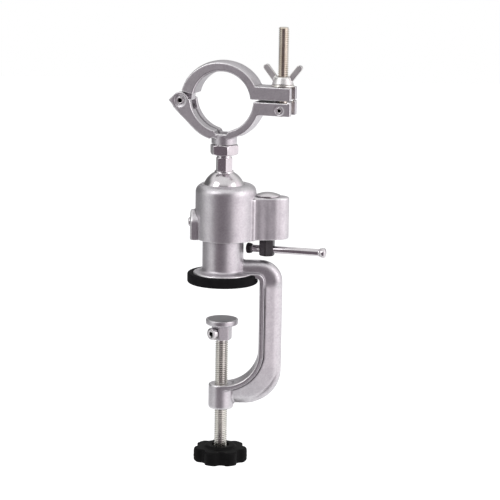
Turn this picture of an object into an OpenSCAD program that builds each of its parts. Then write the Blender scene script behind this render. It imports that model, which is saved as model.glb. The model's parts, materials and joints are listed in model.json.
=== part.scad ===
// Swivel bench vise: a hinged ring clamp on a lockable ball, carried by a C-clamp for a bench edge.
// The origin is the centre of the rubber pad's underside, +Z is up, the C-clamp's leg is towards +X
// and the ring's axis runs along Y. All sizes are in millimetres.

/* [Bench pad] */
// Outside radius of the rubber pad
pad_r = 22.2; // [20:0.1:26]
// Height of the rubber pad's rim
pad_h = 6.3; // [5:0.1:7]
// Rubber left under the metal disc
pad_floor = 2.6; // [1.5:0.1:3]
// Radius of the metal disc that sits in the pad
disc_r = 18.6; // [16:0.1:20]
// Thickness of the metal disc
disc_t = 4.4; // [4:0.1:6]

/* [C-clamp frame] */
// Radius of the round post
post_r = 12.9; // [11:0.1:13]
// Height of post that shows between the disc and the cap
post_show = 22.5; // [16:0.1:30]
// Height of post hidden in the cap
post_hidden = 10.5; // [9:0.1:14]
// Thickness of the flange along the inside of the C
flange_t = 3.1; // [2.8:0.1:4]
// Width of that flange
flange_w = 16; // [12:0.1:18]
// Width of the round-nosed rib along the outside of the C
rib_w = 10; // [7:0.1:11]
// Rise of the rib above the upper flange
rib_rise = 7.6; // [6:0.1:10]
// Rise of the rib outside the leg's flange
leg_rib_rise = 11.4; // [8:0.1:14]
// Rise of the rib under the lower flange
low_rib_rise = 9.3; // [7:0.1:11]
// Distance from the clamp screw's axis to the inside of the leg
throat_depth = 23.1; // [23:0.1:40]
// Height of the throat, from the pad down to the lower boss
throat_height = 65.3; // [55:0.1:80]
// Inside radius of the upper bend
bend_in_r = 2; // [1:0.1:2.5]
// Outside radius of the upper bend
bend_out_r = 14; // [12:0.1:18]
// Inside radius of the lower bend
low_bend_in_r = 21.5; // [12:0.1:22.5]
// Outside radius of the lower bend
low_bend_out_r = 22; // [18:0.1:30]
// Radius of the boss that the clamp screw runs through
boss_r = 8; // [7:0.1:9]
// Height of that boss
boss_h = 15; // [13:0.1:18]
// Radius of the hollow fillet round the foot of the post
post_fillet = 2.4; // [1:0.1:3]

/* [Clamp screw] */
// Diameter of the clamp screw
screw_d = 8; // [7:0.1:9]
// Pitch of the clamp screw
screw_pitch = 1.25; // [1:0.05:1.5]
// Length of screw between the foot and the knob
screw_len = 68.7; // [68.4:0.1:80]
// Opening between the pad and the foot as drawn
bench_gap = 23.4; // [10:0.1:24]
// Radius of the foot's disc
foot_r = 10.2; // [9:0.1:13]
// Thickness of the foot's disc
foot_disc_t = 4.2; // [3:0.1:5]
// Thickness of that disc at its rim
foot_rim_t = 1.2; // [1:0.1:2]
// Width across the flats of the foot's hub
hub_af = 11.4; // [10.5:0.1:13]
// Height of the foot's hub
hub_h = 9.1; // [9:0.1:11]
// Diameter of the screw's turned-down tip
tip_d = 6; // [5:0.1:6.5]
// Depth of the groove in that tip
groove_depth = 0.8; // [0.6:0.1:1]
// Width of the groove in that tip
groove_w = 3.2; // [3:0.1:4]
// Direction that the foot's set screw faces, in degrees
set_screw_dir = -138; // [-180:1:180]
// Diameter of the foot's set screw
set_screw_d = 4; // [3:0.1:4.5]
// Diameter of its head
set_head_d = 7.8; // [6:0.1:8]
// Height of its head
set_head_h = 2.9; // [2:0.1:3.5]

/* [Star knob] */
// Outside radius over the lobes
knob_r = 17.3; // [15:0.1:20]
// Radius of one lobe
lobe_r = 4.6; // [4:0.1:5]
// Radius of one hollow between lobes
valley_r = 3.5; // [2.5:0.1:5]
// Number of lobes
lobe_count = 7; // [5:1:8]
// Direction of the first lobe, in degrees
knob_turn = -62; // [-90:1:90]
// Height of the rim
knob_rim_h = 7.3; // [6:0.1:10]
// Rise of the centre above the rim
knob_hub_rise = 1.5; // [1:0.1:3]
// Outside radius of the raised centre
knob_hub_r = 8.8; // [8:0.1:11]
// Radius of the steel insert moulded into the knob
insert_r = 6; // [5:0.1:7]
// Height of the insert
insert_h = 5.6; // [4:0.1:6]

/* [Ball and cap] */
// Diameter of the ball
ball_d = 26.4; // [25.9:0.1:28]
// Rise of the cap's rim above the ball's centre
ball_cover = 4.5; // [3.5:0.1:6]
// Thickness of the seat under the ball
seat_floor = 4.5; // [3:0.1:6]
// Height of the seat's wall
seat_h = 10.4; // [8:0.1:11.5]
// Radius of the seat's spigot
spigot_r = 4; // [3:0.1:5]
// Length of the seat's spigot
spigot_len = 3.5; // [2:0.1:4]
// Outside radius of the cap
cap_r = 19; // [18:0.1:22]
// Radius of the cap's rounded shoulder
shoulder_r = 5; // [3:0.1:5.5]
// Width across the flats of the ball's shank
shank_af = 9.4; // [9:0.1:11]
// Distance from the ball's centre to the top of the shank
shank_rise = 22.8; // [20:0.1:30]
// Diameter of the threaded stud above the shank
stud_d = 8; // [7:0.1:8.5]
// Width across the flats of the jam nut
nut_af = 16; // [13:0.1:17]
// Height of the jam nut
nut_h = 6.3; // [5:0.1:8]

/* [Lock lug] */
// Distance from the ball's axis to the lock screw
lock_x = 27.4; // [27:0.1:32]
// Distance from the lock screw to the centre of the lug's round end
lug_end_step = 5.2; // [4:0.1:8]
// Width of the lug
lug_w = 16.4; // [14.5:0.1:18]
// Height of the lug
lug_h = 25.5; // [20:0.1:27]
// Rise of the lug's underside above the cap's lower edge
lug_step = 0.5; // [0.3:0.1:1]
// Width of the post's ear inside the lug
ear_w = 9.2; // [9:0.1:10]
// Thickness of that ear
ear_t = 5.6; // [4:0.1:6.5]
// Height of the pocket in the lug
pocket_h = 8.4; // [8:0.1:10]
// Radius of the domed head on the lug
dome_r = 7.5; // [6:0.1:7.7]
// Height of that domed head
dome_h = 2.6; // [2:0.1:3.5]
// Radius of the barrel under the domed head
barrel_r = 4.4; // [4.2:0.1:5]
// Length of that barrel
barrel_len = 14; // [10:0.1:15]
// Diameter of the lock screw
lock_d = 6; // [5:0.1:6.5]
// Pitch of the lock screw
lock_pitch = 1; // [0.8:0.05:1.25]
// Width across the flats of the lock screw's head
lock_head_af = 8.8; // [8:0.1:9.2]
// Height of the lock screw's head
lock_head_h = 11; // [9:0.1:12]
// Thickness of the washer above that head
lock_washer_t = 1.2; // [1:0.1:1.6]
// Diameter of the tommy bar
bar_d = 4.6; // [3:0.1:5]
// Length of the tommy bar with its caps
bar_len = 51.4; // [45:0.1:60]
// Distance from the lock screw to the bar's inner end
bar_inner = 13.3; // [12:0.1:13.6]
// Rise of the bar above the underside of the head
bar_rise = 3.3; // [2.9:0.1:4.5]
// Diameter of the bar's end caps
bar_cap_d = 6.2; // [5.5:0.1:6.6]
// Direction that the bar points in as drawn, in degrees
bar_dir = -15; // [-60:1:0]
// Length of the bar's end caps
bar_cap_len = 4.2; // [3:0.1:5]

/* [Fulcrum boss] */
// Width of the arched boss opposite the lug
arch_w = 16; // [12:0.1:18]
// Distance from the ball's axis to the boss's face
arch_x = 22; // [21:0.1:25]
// Height of the fulcrum screw above the cap's lower edge
fulcrum_rise = 8.5; // [7:0.1:9]
// Diameter of the fulcrum screw
fulcrum_d = 4; // [3:0.1:4.5]
// Diameter of the fulcrum screw's head
fulcrum_head_d = 5.6; // [5:0.1:6.5]
// Depth that the fulcrum screw enters the post
fulcrum_bite = 5; // [3:0.1:6]

/* [Ring clamp] */
// Direction that the clamp arms point in as drawn, in degrees
ring_dir = -18; // [-90:1:90]
// Smallest tool diameter that the ring holds
grip_d = 37; // [34:0.1:39]
// Width of the jaws along the ring's axis
jaw_w = 15; // [14:0.1:17]
// Wall of the upper jaw at its top
upper_wall = 5.4; // [5:0.1:7]
// Extra radius of the upper jaw's outside
upper_flare = 2.1; // [1:0.1:2.5]
// Shift of the upper jaw's outside towards the hinge
upper_shift = 1.3; // [1:0.1:2]
// Wall of the lower jaw
lower_wall = 4.5; // [4:0.1:6]
// Extra bore radius of the lower jaw
lower_relief = 2; // [1.5:0.1:2.5]
// Length of the lower jaw's neck
neck_h = 3.9; // [3:0.1:6]
// Radius of the lower jaw's neck
neck_r = 7.75; // [7:0.05:9]
// Depth of the flat groove at the bottom of the bore
groove_cut = 0.6; // [0.3:0.1:0.8]
// Width of that groove
bore_groove_w = 9; // [6:0.1:12]
// Distance from the ring's axis to the hinge pin
hinge_x = 27; // [26.8:0.1:29]
// Rise of the hinge pin above the ring's axis
hinge_rise = -0.6; // [-1:0.1:1]
// Radius of the hinge's ears
hinge_ear_r = 5.4; // [5:0.1:6]
// Width of the middle knuckle
knuckle_w = 7; // [6:0.1:8]
// Diameter of the hinge pin
hinge_pin_d = 5; // [4:0.1:5.5]
// Distance from the ring's axis to the end of the clamp arms
arm_end_x = 44; // [43.5:0.1:52]
// Thickness of each clamp arm
arm_t = 8.2; // [7:0.1:9]
// Gap between the closed clamp arms
arm_gap = 1.2; // [1:0.1:2]
// Height of the arms' parting line above the ring's axis
arm_rise = 1.7; // [0:0.1:2]

/* [Eye bolt and wing nut] */
// Distance from the ring's axis to the eye bolt
bolt_x = 37; // [36.5:0.1:37.5]
// Diameter of the eye bolt
bolt_d = 6; // [5:0.1:6.2]
// Pitch of the eye bolt
bolt_pitch = 1; // [0.8:0.05:1.25]
// Rise of the bolt's top above the arm
bolt_rise = 36; // [35.8:0.1:45]
// Radius of the bolt's eye
eye_r = 4.3; // [4:0.1:4.6]
// Thickness of the bolt's eye
eye_t = 6.4; // [6:0.1:6.5]
// Width of the slots that the bolt swings in
slot_w = 7; // [7:0.1:7.4]
// Diameter of the pin through the eye
eye_pin_d = 4; // [3:0.1:4.4]
// Depth of the eye pin under the top of the lower arm
eye_pin_drop = 4.7; // [4:0.1:5]
// Radius of the washer under the wing nut
wing_washer_r = 7; // [6.9:0.1:7.2]
// Thickness of that washer
wing_washer_t = 1.2; // [1:0.1:2]
// Radius of the wing nut's base
wing_base_r = 6.6; // [6:0.1:6.9]
// Radius of the wing nut's top
wing_top_r = 5.2; // [5:0.1:6]
// Height of the wing nut's body
wing_body_h = 4.8; // [4:0.1:5]
// Thickness of a wing
wing_t = 2.8; // [2:0.1:3.5]
// Distance from the bolt to the centre of a wing's round tip
wing_tip_x = 10.4; // [9:0.1:12]
// Height of that centre above the nut's base
wing_tip_z = 10.2; // [8:0.1:12]
// Radius of a wing's tip
wing_tip_r = 1.9; // [1.5:0.1:2.4]

/* [Fits] */
// Radial clearance of a running fit
run_gap = 0.05; // [0.02:0.01:0.08]
// Clearance between flat faces that turn on each other
face_gap = 0.1; // [0.05:0.01:0.15]
// Side clearance between pieces that only pass each other
side_gap = 0.3; // [0.2:0.05:0.35]
// Small edge break on turned and cast edges
edge = 0.6; // [0.3:0.1:0.8]

/* [Hidden] */
$fn = 96;
// Overrun of every cut past the face that it opens
over = 1;
// Depth of a threaded end's chamfer, as a share of the thread's pitch
chamfer_share = 0.6;
// Colours of the real materials
cast_metal = [0.66, 0.65, 0.67];
bright_metal = [0.86, 0.86, 0.88];
dark_steel = [0.22, 0.21, 0.23];
zinc = [0.78, 0.77, 0.76];
yellow_zinc = [0.80, 0.74, 0.60];
rubber = [0.08, 0.08, 0.08];
plastic = [0.06, 0.06, 0.07];
sintered = [0.50, 0.46, 0.40];

// Levels from the bench pad up to the ring
disc_top = pad_floor + disc_t;
flange_bottom = disc_top - flange_t;
cap_bottom = disc_top + post_show;
post_top = cap_bottom + post_hidden;
ball_r = ball_d / 2;
cup_r = ball_r + run_gap;
seat_bottom = post_top + face_gap;
ball_z = seat_bottom + seat_floor + cup_r;
cap_top = ball_z + ball_cover;
shank_top = ball_z + shank_rise;
nut_bottom = shank_top + face_gap;
neck_bottom = nut_bottom + nut_h + face_gap;
grip_r = grip_d / 2;
grip_z = neck_bottom + neck_h + lower_wall + grip_r;
stud_top = neck_bottom + neck_h + lower_wall / 2;

// C-clamp levels
boss_top = -throat_height;
boss_bottom = boss_top - boss_h;
nose_r = rib_w / 2;
leg_outer_x = throat_depth + flange_t + leg_rib_rise;
rib_top = disc_top + rib_rise;
rib_low = boss_top - flange_t - low_rib_rise;

// Clamp screw levels
screw_r = screw_d / 2;
foot_top = -bench_gap;
foot_bottom = foot_top - foot_disc_t - hub_h;
tip_r = tip_d / 2;
foot_roof = foot_disc_t / 2;
set_screw_z = foot_bottom + hub_h / 2;
knob_top = foot_bottom - screw_len;
knob_rim_top = knob_top - knob_hub_rise;
knob_bottom = knob_rim_top - knob_rim_h;
insert_top = knob_rim_top - edge;
lobe_x = knob_r - lobe_r;
lobe_step = 360 / lobe_count;
valley_mid = lobe_x * cos(lobe_step / 2);
valley_x = valley_mid + sqrt(pow(lobe_r + valley_r, 2) - pow(lobe_x * sin(lobe_step / 2), 2));
tangent_share = lobe_r / (lobe_r + valley_r);
tangent_x = valley_mid + tangent_share * (valley_x - valley_mid);
tangent_y = (1 - tangent_share) * lobe_x * sin(lobe_step / 2);
knob_core_r = sqrt(tangent_x * tangent_x + tangent_y * tangent_y);

// Lock levels
lug_bottom = cap_bottom + lug_step;
lug_top = lug_bottom + lug_h;
lug_end_x = lock_x + lug_end_step;
ear_bottom = lug_bottom + lock_washer_t;
pocket_top = lug_bottom + pocket_h;
pocket_r = ear_w / 2 + side_gap + run_gap;
lock_r = lock_d / 2;
lock_head_top = ear_bottom - face_gap - lock_washer_t;
lock_head_bottom = lock_head_top - lock_head_h;
lock_washer_r = ear_w / 2;
bar_r = bar_d / 2;
bar_z = lock_head_bottom + bar_rise;
bar_cap_r = bar_cap_d / 2;
bar_cap_sphere_r = bar_cap_r * 1.25;
dome_sphere_r = (dome_r * dome_r + dome_h * dome_h) / (2 * dome_h);
fulcrum_z = cap_bottom + fulcrum_rise;
fulcrum_r = fulcrum_d / 2;

// Ring places, in the plane of the ring, with the ring's axis at the centre
upper_out_r = grip_r + upper_wall + upper_flare;
lower_bore_r = grip_r + lower_relief;
lower_out_r = lower_bore_r + lower_wall;
hinge_at = [-hinge_x, hinge_rise];
upper_arm_low = arm_gap / 2 + arm_rise;
upper_arm_top = upper_arm_low + arm_t;
lower_arm_top = -arm_gap / 2 + arm_rise;
lower_arm_low = lower_arm_top - arm_t;
eye_at = [bolt_x, lower_arm_top - eye_pin_drop];
hinge_room_r = hinge_ear_r + 2 * side_gap;
knuckle_r = hinge_ear_r - side_gap;
fork_w = knuckle_w + 2 * side_gap;
slot_end_x = bolt_x - bolt_d / 2 - 2 * arm_gap - side_gap;
washer_bottom = upper_arm_top + face_gap;
wing_bottom = washer_bottom + wing_washer_t + face_gap;
bolt_top = upper_arm_top + bolt_rise;
jaw_half = jaw_w / 2;

// Extrudes a shape drawn in X and Z along Y, centred on the ring's middle plane
module along_y(width) {
    rotate([90, 0, 0])
        translate([0, 0, -width / 2])
            linear_extrude(width)
                children();
}

// Radius of the corners of a hexagon of a given width across its flats
function hex_r(af) = af / 2 / cos(30);

// Hexagonal bar with two flats facing along Y
module hex_bar(af, height) {
    cylinder(r = hex_r(af), h = height, $fn = 6);
}

// Round bar with both end edges broken
module broken_bar(r, height, cut) {
    rotate_extrude()
        polygon([[0, 0], [r - cut, 0], [r, cut], [r, height - cut], [r - cut, height], [0, height]]);
}

// Area bounded by the C's path: a right-hand upper and lower corner, each rounded
module c_area(right, top, bottom, top_r, bottom_r) {
    difference() {
        translate([0, bottom])
            square([right, top - bottom]);
        translate([right - top_r, top - top_r])
            difference() {
                square(top_r + over);
                circle(r = top_r);
            }
        translate([right - bottom_r, bottom + bottom_r])
            difference() {
                translate([0, -bottom_r - over])
                    square(bottom_r + over);
                circle(r = bottom_r);
            }
    }
}

// The throat, grown outwards by a distance
module throat_area(grow) {
    c_area(throat_depth + grow, flange_bottom + grow, boss_top - grow,
        bend_in_r + grow, low_bend_in_r + grow);
}

// The rib's outline up to the centre line of its round nose
module rib_area() {
    c_area(leg_outer_x - nose_r, rib_top - nose_r, rib_low + nose_r,
        bend_out_r - nose_r, low_bend_out_r - nose_r);
}

// Quarter turn of round nose, centred at a point of the XZ plane and starting at an angle
module nose_bend(x, z, path_r, from_angle) {
    translate([x, 0, z])
        rotate([90, 0, 0])
            rotate([0, 0, from_angle])
                rotate_extrude(angle = 90)
                    translate([path_r, 0])
                        circle(r = nose_r);
}

// Round nose that runs the length of the rib
module rib_nose() {
    top_x = leg_outer_x - bend_out_r;
    top_z = rib_top - bend_out_r;
    low_x = leg_outer_x - low_bend_out_r;
    low_z = rib_low + low_bend_out_r;
    translate([0, 0, rib_top - nose_r])
        rotate([0, 90, 0])
            cylinder(r = nose_r, h = top_x);
    nose_bend(top_x, top_z, bend_out_r - nose_r, 0);
    translate([leg_outer_x - nose_r, 0, low_z])
        cylinder(r = nose_r, h = top_z - low_z);
    nose_bend(low_x, low_z, low_bend_out_r - nose_r, -90);
    translate([0, 0, rib_low + nose_r])
        rotate([0, 90, 0])
            cylinder(r = nose_r, h = low_x);
}

// T-section arm of the C: flange inside, round-nosed rib outside
module c_arm() {
    along_y(flange_w)
        difference() {
            throat_area(flange_t);
            throat_area(0);
        }
    along_y(rib_w)
        difference() {
            rib_area();
            throat_area(flange_t / 2);
        }
    rib_nose();
}

// Disc and post, with a hollow fillet between them
module post() {
    translate([0, 0, pad_floor])
        broken_bar(disc_r, disc_t, edge);
    translate([0, 0, disc_top - disc_t / 2])
        cylinder(r = post_r, h = post_top - disc_top + disc_t / 2);
    translate([0, 0, disc_top])
        rotate_extrude()
            translate([post_r - edge, -edge])
                difference() {
                    square(post_fillet + edge);
                    translate([post_fillet + edge, post_fillet + edge])
                        circle(r = post_fillet);
                }
}

// Ear of the post that the lock screw's washer pulls against
module post_ear() {
    translate([0, 0, ear_bottom])
        linear_extrude(ear_t) {
            translate([0, -ear_w / 2])
                square([lock_x, ear_w]);
            translate([lock_x, 0])
                circle(r = ear_w / 2);
        }
}

// Cast C-shaped frame with its disc, post, ear and threaded boss, spot-faced above
module c_frame() {
    color(cast_metal)
        difference() {
            union() {
                post();
                post_ear();
                c_arm();
                translate([0, 0, boss_bottom])
                    broken_bar(boss_r, boss_h, edge);
            }
            translate([0, 0, boss_top])
                cylinder(r = boss_r, h = boss_r);
            translate([0, 0, boss_bottom - over])
                cylinder(r = screw_r + run_gap, h = boss_h + 2 * over);
            translate([0, 0, post_top - spigot_len - face_gap])
                cylinder(r = spigot_r + run_gap, h = spigot_len + face_gap + over);
            translate([lock_x, 0, ear_bottom - over])
                cylinder(r = lock_r + side_gap, h = ear_t + 2 * over);
            translate([-post_r - over, 0, fulcrum_z])
                rotate([0, 90, 0])
                    cylinder(r = fulcrum_r + run_gap, h = fulcrum_bite + over + face_gap);
        }
}

// Rubber boot under the disc, notched for the C's flange
module rubber_pad() {
    color(rubber)
        difference() {
            broken_bar(pad_r, pad_h, edge);
            translate([0, 0, pad_floor])
                cylinder(r = disc_r + run_gap, h = pad_h);
            translate([0, -flange_w / 2 - side_gap / 2, flange_bottom - face_gap])
                cube([pad_r + over, flange_w + side_gap, pad_h]);
            translate([throat_depth - bend_in_r - face_gap, -flange_w / 2 - side_gap / 2,
                flange_bottom - bend_in_r - face_gap])
                cube([pad_r, flange_w + side_gap, pad_h]);
        }
}

// Lug of the cap: a round-ended block with its top edge rounded over
module lug() {
    lug_r = lug_w / 2;
    round_r = 2 * edge;
    translate([0, 0, lug_bottom]) {
        translate([lug_end_x, 0, 0])
            rotate_extrude() {
                square([lug_r, lug_h - round_r]);
                square([lug_r - round_r, lug_h]);
                translate([lug_r - round_r, lug_h - round_r])
                    circle(r = round_r);
            }
        rotate([90, 0, 90])
            linear_extrude(lug_end_x) {
                translate([-lug_r, 0])
                    square([lug_w, lug_h - round_r]);
                translate([-lug_r + round_r, 0])
                    square([lug_w - 2 * round_r, lug_h]);
                for (side = [-1, 1])
                    translate([side * (lug_r - round_r), lug_h - round_r])
                        circle(r = round_r);
            }
    }
}

// Section of the arched boss on one side of its screw, rounded over at the face
module arch_section() {
    arch_r = arch_w / 2;
    round_r = 2 * edge;
    square([arch_r, arch_x - round_r]);
    square([arch_r - round_r, arch_x]);
    translate([arch_r - round_r, arch_x - round_r])
        circle(r = round_r);
}

// Arched boss for the fulcrum screw: half a revolve above a straight foot
module arch_boss() {
    translate([0, 0, fulcrum_z])
        rotate([0, -90, 0])
            rotate([0, 0, -90])
                rotate_extrude(angle = 180)
                    arch_section();
    translate([0, 0, cap_bottom])
        linear_extrude(fulcrum_rise)
            for (side = [0, 1])
                mirror([0, side])
                    rotate(90)
                        arch_section();
}

// Cap that holds the ball down, with its lug and arched boss
module clamp_cap() {
    height = cap_top - cap_bottom;
    color(cast_metal)
        difference() {
            union() {
                translate([0, 0, cap_bottom])
                    rotate_extrude() {
                        square([cap_r, height - shoulder_r]);
                        square([cap_r - shoulder_r, height]);
                        translate([cap_r - shoulder_r, height - shoulder_r])
                            circle(r = shoulder_r);
                    }
                lug();
                arch_boss();
            }
            translate([0, 0, cap_bottom - over])
                cylinder(r = cup_r, h = ball_z - cap_bottom + over);
            translate([0, 0, ball_z])
                rotate_extrude()
                    intersection() {
                        circle(r = cup_r);
                        translate([0, -cup_r])
                            square([cup_r, 2 * cup_r]);
                    }
            translate([0, 0, cap_bottom - over]) {
                height_in = pocket_top - cap_bottom + over;
                translate([0, -pocket_r, 0])
                    cube([lock_x, 2 * pocket_r, height_in]);
                translate([lock_x, 0, 0])
                    cylinder(r = pocket_r, h = height_in);
            }
            translate([lock_x, 0, pocket_top - over])
                cylinder(r = barrel_r + run_gap, h = lug_h);
            translate([-arch_x - over, 0, fulcrum_z])
                rotate([0, 90, 0])
                    cylinder(r = fulcrum_r + run_gap, h = arch_x - post_r + over);
        }
}

// Screw through the arched boss into the post, on which the cap rocks
module fulcrum_screw() {
    color(bright_metal)
        translate([-arch_x, 0, fulcrum_z])
            rotate([0, 90, 0]) {
                cylinder(r = fulcrum_r, h = arch_x - post_r + fulcrum_bite);
                translate([0, 0, -2 * edge])
                    difference() {
                        broken_bar(fulcrum_head_d / 2, 2 * edge, edge / 2);
                        translate([0, 0, -edge])
                            cylinder(r = fulcrum_r / 2, h = 1.5 * edge, $fn = 6);
                    }
            }
}

// Domed head with a threaded barrel, held in the lug
module lock_dome_nut() {
    color(bright_metal)
        translate([lock_x, 0, lug_top])
            difference() {
                union() {
                    rotate_extrude()
                        intersection() {
                            square([dome_r, dome_h]);
                            translate([0, dome_h - dome_sphere_r])
                                circle(r = dome_sphere_r);
                        }
                    translate([0, 0, -barrel_len])
                        cylinder(r = barrel_r, h = barrel_len + dome_h / 4);
                }
                translate([0, 0, -barrel_len - over])
                    cylinder(r = lock_r + run_gap, h = barrel_len - 1.5 * dome_h + over);
            }
}

// Washer between the lock screw's head and the post's ear
module lock_washer() {
    color(zinc)
        translate([lock_x, 0, lock_head_top])
            difference() {
                cylinder(r = lock_washer_r, h = lock_washer_t);
                translate([0, 0, -over])
                    cylinder(r = lock_r + run_gap, h = lock_washer_t + 2 * over);
            }
}

// Places a piece drawn along X from the lock screw's axis at the bar's height and direction
module on_bar() {
    translate([lock_x, 0, bar_z])
        rotate([0, 0, bar_dir])
            children();
}

// Lock screw, cross-drilled through its long hexagonal head
module lock_screw() {
    reach = lug_top - 2 * dome_h - lock_head_top;
    color(dark_steel)
        difference() {
            union() {
                translate([lock_x, 0, lock_head_bottom])
                    intersection() {
                        rotate([0, 0, bar_dir + 30])
                            hex_bar(lock_head_af, lock_head_h - face_gap);
                        broken_bar(hex_r(lock_head_af), lock_head_h - face_gap, edge);
                    }
                translate([lock_x, 0, lock_head_bottom + lock_head_h / 2])
                    broken_bar(lock_r, reach + lock_head_h / 2, lock_pitch * chamfer_share);
            }
            on_bar()
                rotate([0, 90, 0])
                    cylinder(r = bar_r + run_gap, h = 2 * lock_head_af, center = true);
        }
}

// Sliding bar that turns the lock screw
module tommy_bar() {
    color(bright_metal)
        on_bar()
            translate([edge - bar_inner, 0, 0])
                rotate([0, 90, 0])
                    cylinder(r = bar_r, h = bar_len - 2 * edge);
}

// Turned end cap, its collar at the origin and its round end along +X
module bar_cap() {
    rotate([0, 90, 0])
        difference() {
            rotate_extrude() {
                polygon([[0, 0], [bar_r + edge / 2, 0], [bar_cap_r, bar_cap_len / 3],
                    [bar_cap_r, bar_cap_len - bar_cap_r / 2], [0, bar_cap_len - bar_cap_r / 2]]);
                intersection() {
                    square([bar_cap_r, bar_cap_len]);
                    translate([0, bar_cap_len - bar_cap_sphere_r])
                        circle(r = bar_cap_sphere_r);
                }
            }
            translate([0, 0, -over])
                cylinder(r = bar_r, h = bar_cap_len - edge + over);
        }
}

// Dark end cap of the bar, next to the post
module bar_cap_inner() {
    color(dark_steel)
        on_bar()
            translate([bar_cap_len - bar_inner, 0, 0])
                mirror([1, 0, 0])
                    bar_cap();
}

// Bright end cap of the bar
module bar_cap_outer() {
    color(bright_metal)
        on_bar()
            translate([bar_len - bar_inner - bar_cap_len, 0, 0])
                bar_cap();
}

// Cupped seat that carries the ball on top of the post
module ball_seat() {
    color(sintered)
        rotate_extrude()
            difference() {
                union() {
                    translate([0, seat_bottom])
                        square([post_r, seat_h]);
                    translate([0, seat_bottom - spigot_len])
                        square([spigot_r, spigot_len + edge]);
                }
                translate([0, ball_z])
                    circle(r = cup_r);
            }
}

// Ball with its hexagonal shank and threaded stud
module ball_stud() {
    color(bright_metal)
        rotate([0, 0, ring_dir]) {
            translate([0, 0, ball_z])
                sphere(r = ball_r);
            translate([0, 0, ball_z])
                intersection() {
                    hex_bar(shank_af, shank_rise);
                    broken_bar(hex_r(shank_af), shank_rise, edge / 2);
                }
            translate([0, 0, shank_top - edge])
                broken_bar(stud_d / 2, stud_top - shank_top + edge, edge);
        }
}

// Jam nut that locks the ring on the stud
module jam_nut() {
    color(bright_metal)
        rotate([0, 0, ring_dir])
            translate([0, 0, nut_bottom])
                difference() {
                    intersection() {
                        hex_bar(nut_af, nut_h);
                        broken_bar(hex_r(nut_af), nut_h, 2 * edge);
                    }
                    translate([0, 0, -over])
                        cylinder(r = stud_d / 2 + run_gap, h = nut_h + 2 * over);
                }
}

// Outline of the lower jaw: ring half, tangent flank, hinge ear and clamp arm
module lower_jaw_outline() {
    flank_at = [-lower_out_r, -lower_out_r] / sqrt(2) + [0, lower_relief];
    corner = hinge_at + [-hinge_ear_r * sqrt(2), 0];
    difference() {
        union() {
            intersection() {
                union() {
                    translate([0, lower_relief])
                        circle(r = lower_out_r);
                    polygon([hinge_at, corner, flank_at, [0, 0]]);
                }
                translate([-2 * hinge_x, -2 * lower_out_r])
                    square([2 * hinge_x, 2 * lower_out_r + hinge_rise + arm_gap]);
            }
            intersection() {
                translate([0, lower_relief])
                    circle(r = lower_out_r);
                translate([0, -2 * lower_out_r])
                    square([2 * lower_out_r, 2 * lower_out_r + lower_arm_top]);
            }
            translate([lower_bore_r, lower_arm_low])
                square([arm_end_x - lower_bore_r, arm_t]);
            translate(hinge_at)
                circle(r = hinge_ear_r);
            polygon([hinge_at, hinge_at + [-hinge_ear_r, hinge_ear_r] / sqrt(2), corner,
                hinge_at + [-hinge_ear_r, -hinge_ear_r] / sqrt(2)]);
        }
        translate([0, lower_relief])
            circle(r = lower_bore_r);
        translate([-bore_groove_w / 2, -grip_r - groove_cut])
            square([bore_groove_w, grip_r]);
    }
}

// Open-ended slot for the eye bolt, cut through an arm
module bolt_slot(z, height) {
    translate([slot_end_x, -slot_w / 2, z])
        cube([arm_end_x - slot_end_x + over, slot_w, height]);
}

// Pin hole across the jaws, with a shallow recess at each face
module pin_hole(at, r, recess_r) {
    translate([at[0], 0, at[1]])
        rotate([90, 0, 0]) {
            cylinder(r = r, h = jaw_w + 2 * over, center = true);
            for (side = [-1, 1])
                translate([0, 0, side * jaw_half])
                    cylinder(r = recess_r, h = 2 * edge, center = true);
        }
}

// Lower half of the ring, with its neck on the stud
module lower_jaw() {
    color(cast_metal)
        rotate([0, 0, ring_dir])
            difference() {
                union() {
                    translate([0, 0, grip_z])
                        along_y(jaw_w)
                            lower_jaw_outline();
                    translate([0, 0, neck_bottom])
                        cylinder(r = neck_r, h = neck_h + lower_wall / 2);
                }
                translate([0, 0, grip_z]) {
                    translate([-hinge_x - 2 * hinge_ear_r, -fork_w / 2, hinge_rise - hinge_ear_r])
                        cube([2 * hinge_ear_r + hinge_x - lower_bore_r + lower_wall, fork_w,
                            3 * hinge_ear_r]);
                    bolt_slot(lower_arm_low - over, arm_t + 2 * over);
                    pin_hole(hinge_at, hinge_pin_d / 2, hinge_pin_d / 2 + 2 * edge);
                    pin_hole(eye_at, eye_pin_d / 2, eye_pin_d / 2 + edge);
                }
                translate([0, 0, neck_bottom - over])
                    cylinder(r = stud_d / 2 + run_gap, h = stud_top - neck_bottom + face_gap + over);
            }
}

// Outline of the upper jaw: ring half and clamp arm
module upper_jaw_outline() {
    end_angle = 180 - asin((hinge_rise + hinge_ear_r - arm_gap) / grip_r);
    difference() {
        union() {
            translate([-upper_shift, -upper_flare])
                circle(r = upper_out_r);
            translate([grip_r, upper_arm_low])
                square([arm_end_x - grip_r, arm_t]);
        }
        circle(r = grip_r);
        translate(hinge_at)
            circle(r = hinge_room_r);
        translate([0, upper_arm_low - 2 * upper_out_r])
            square([2 * upper_out_r, 2 * upper_out_r]);
        polygon([[0, 0], 2 * upper_out_r * [cos(end_angle), sin(end_angle)],
            [-2 * upper_out_r, -2 * upper_out_r], [over, -2 * upper_out_r], [over, 0]]);
    }
}

// Middle knuckle of the upper jaw and the strap that joins it to the ring half
module knuckle_outline() {
    strap_r = grip_r + lower_relief;
    translate(hinge_at)
        circle(r = knuckle_r);
    intersection() {
        difference() {
            translate([-upper_shift, -upper_flare])
                circle(r = upper_out_r);
            circle(r = strap_r);
        }
        translate([-2 * hinge_x, hinge_rise])
            square([2 * hinge_x - grip_r / 2, 2 * hinge_ear_r]);
    }
}

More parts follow.
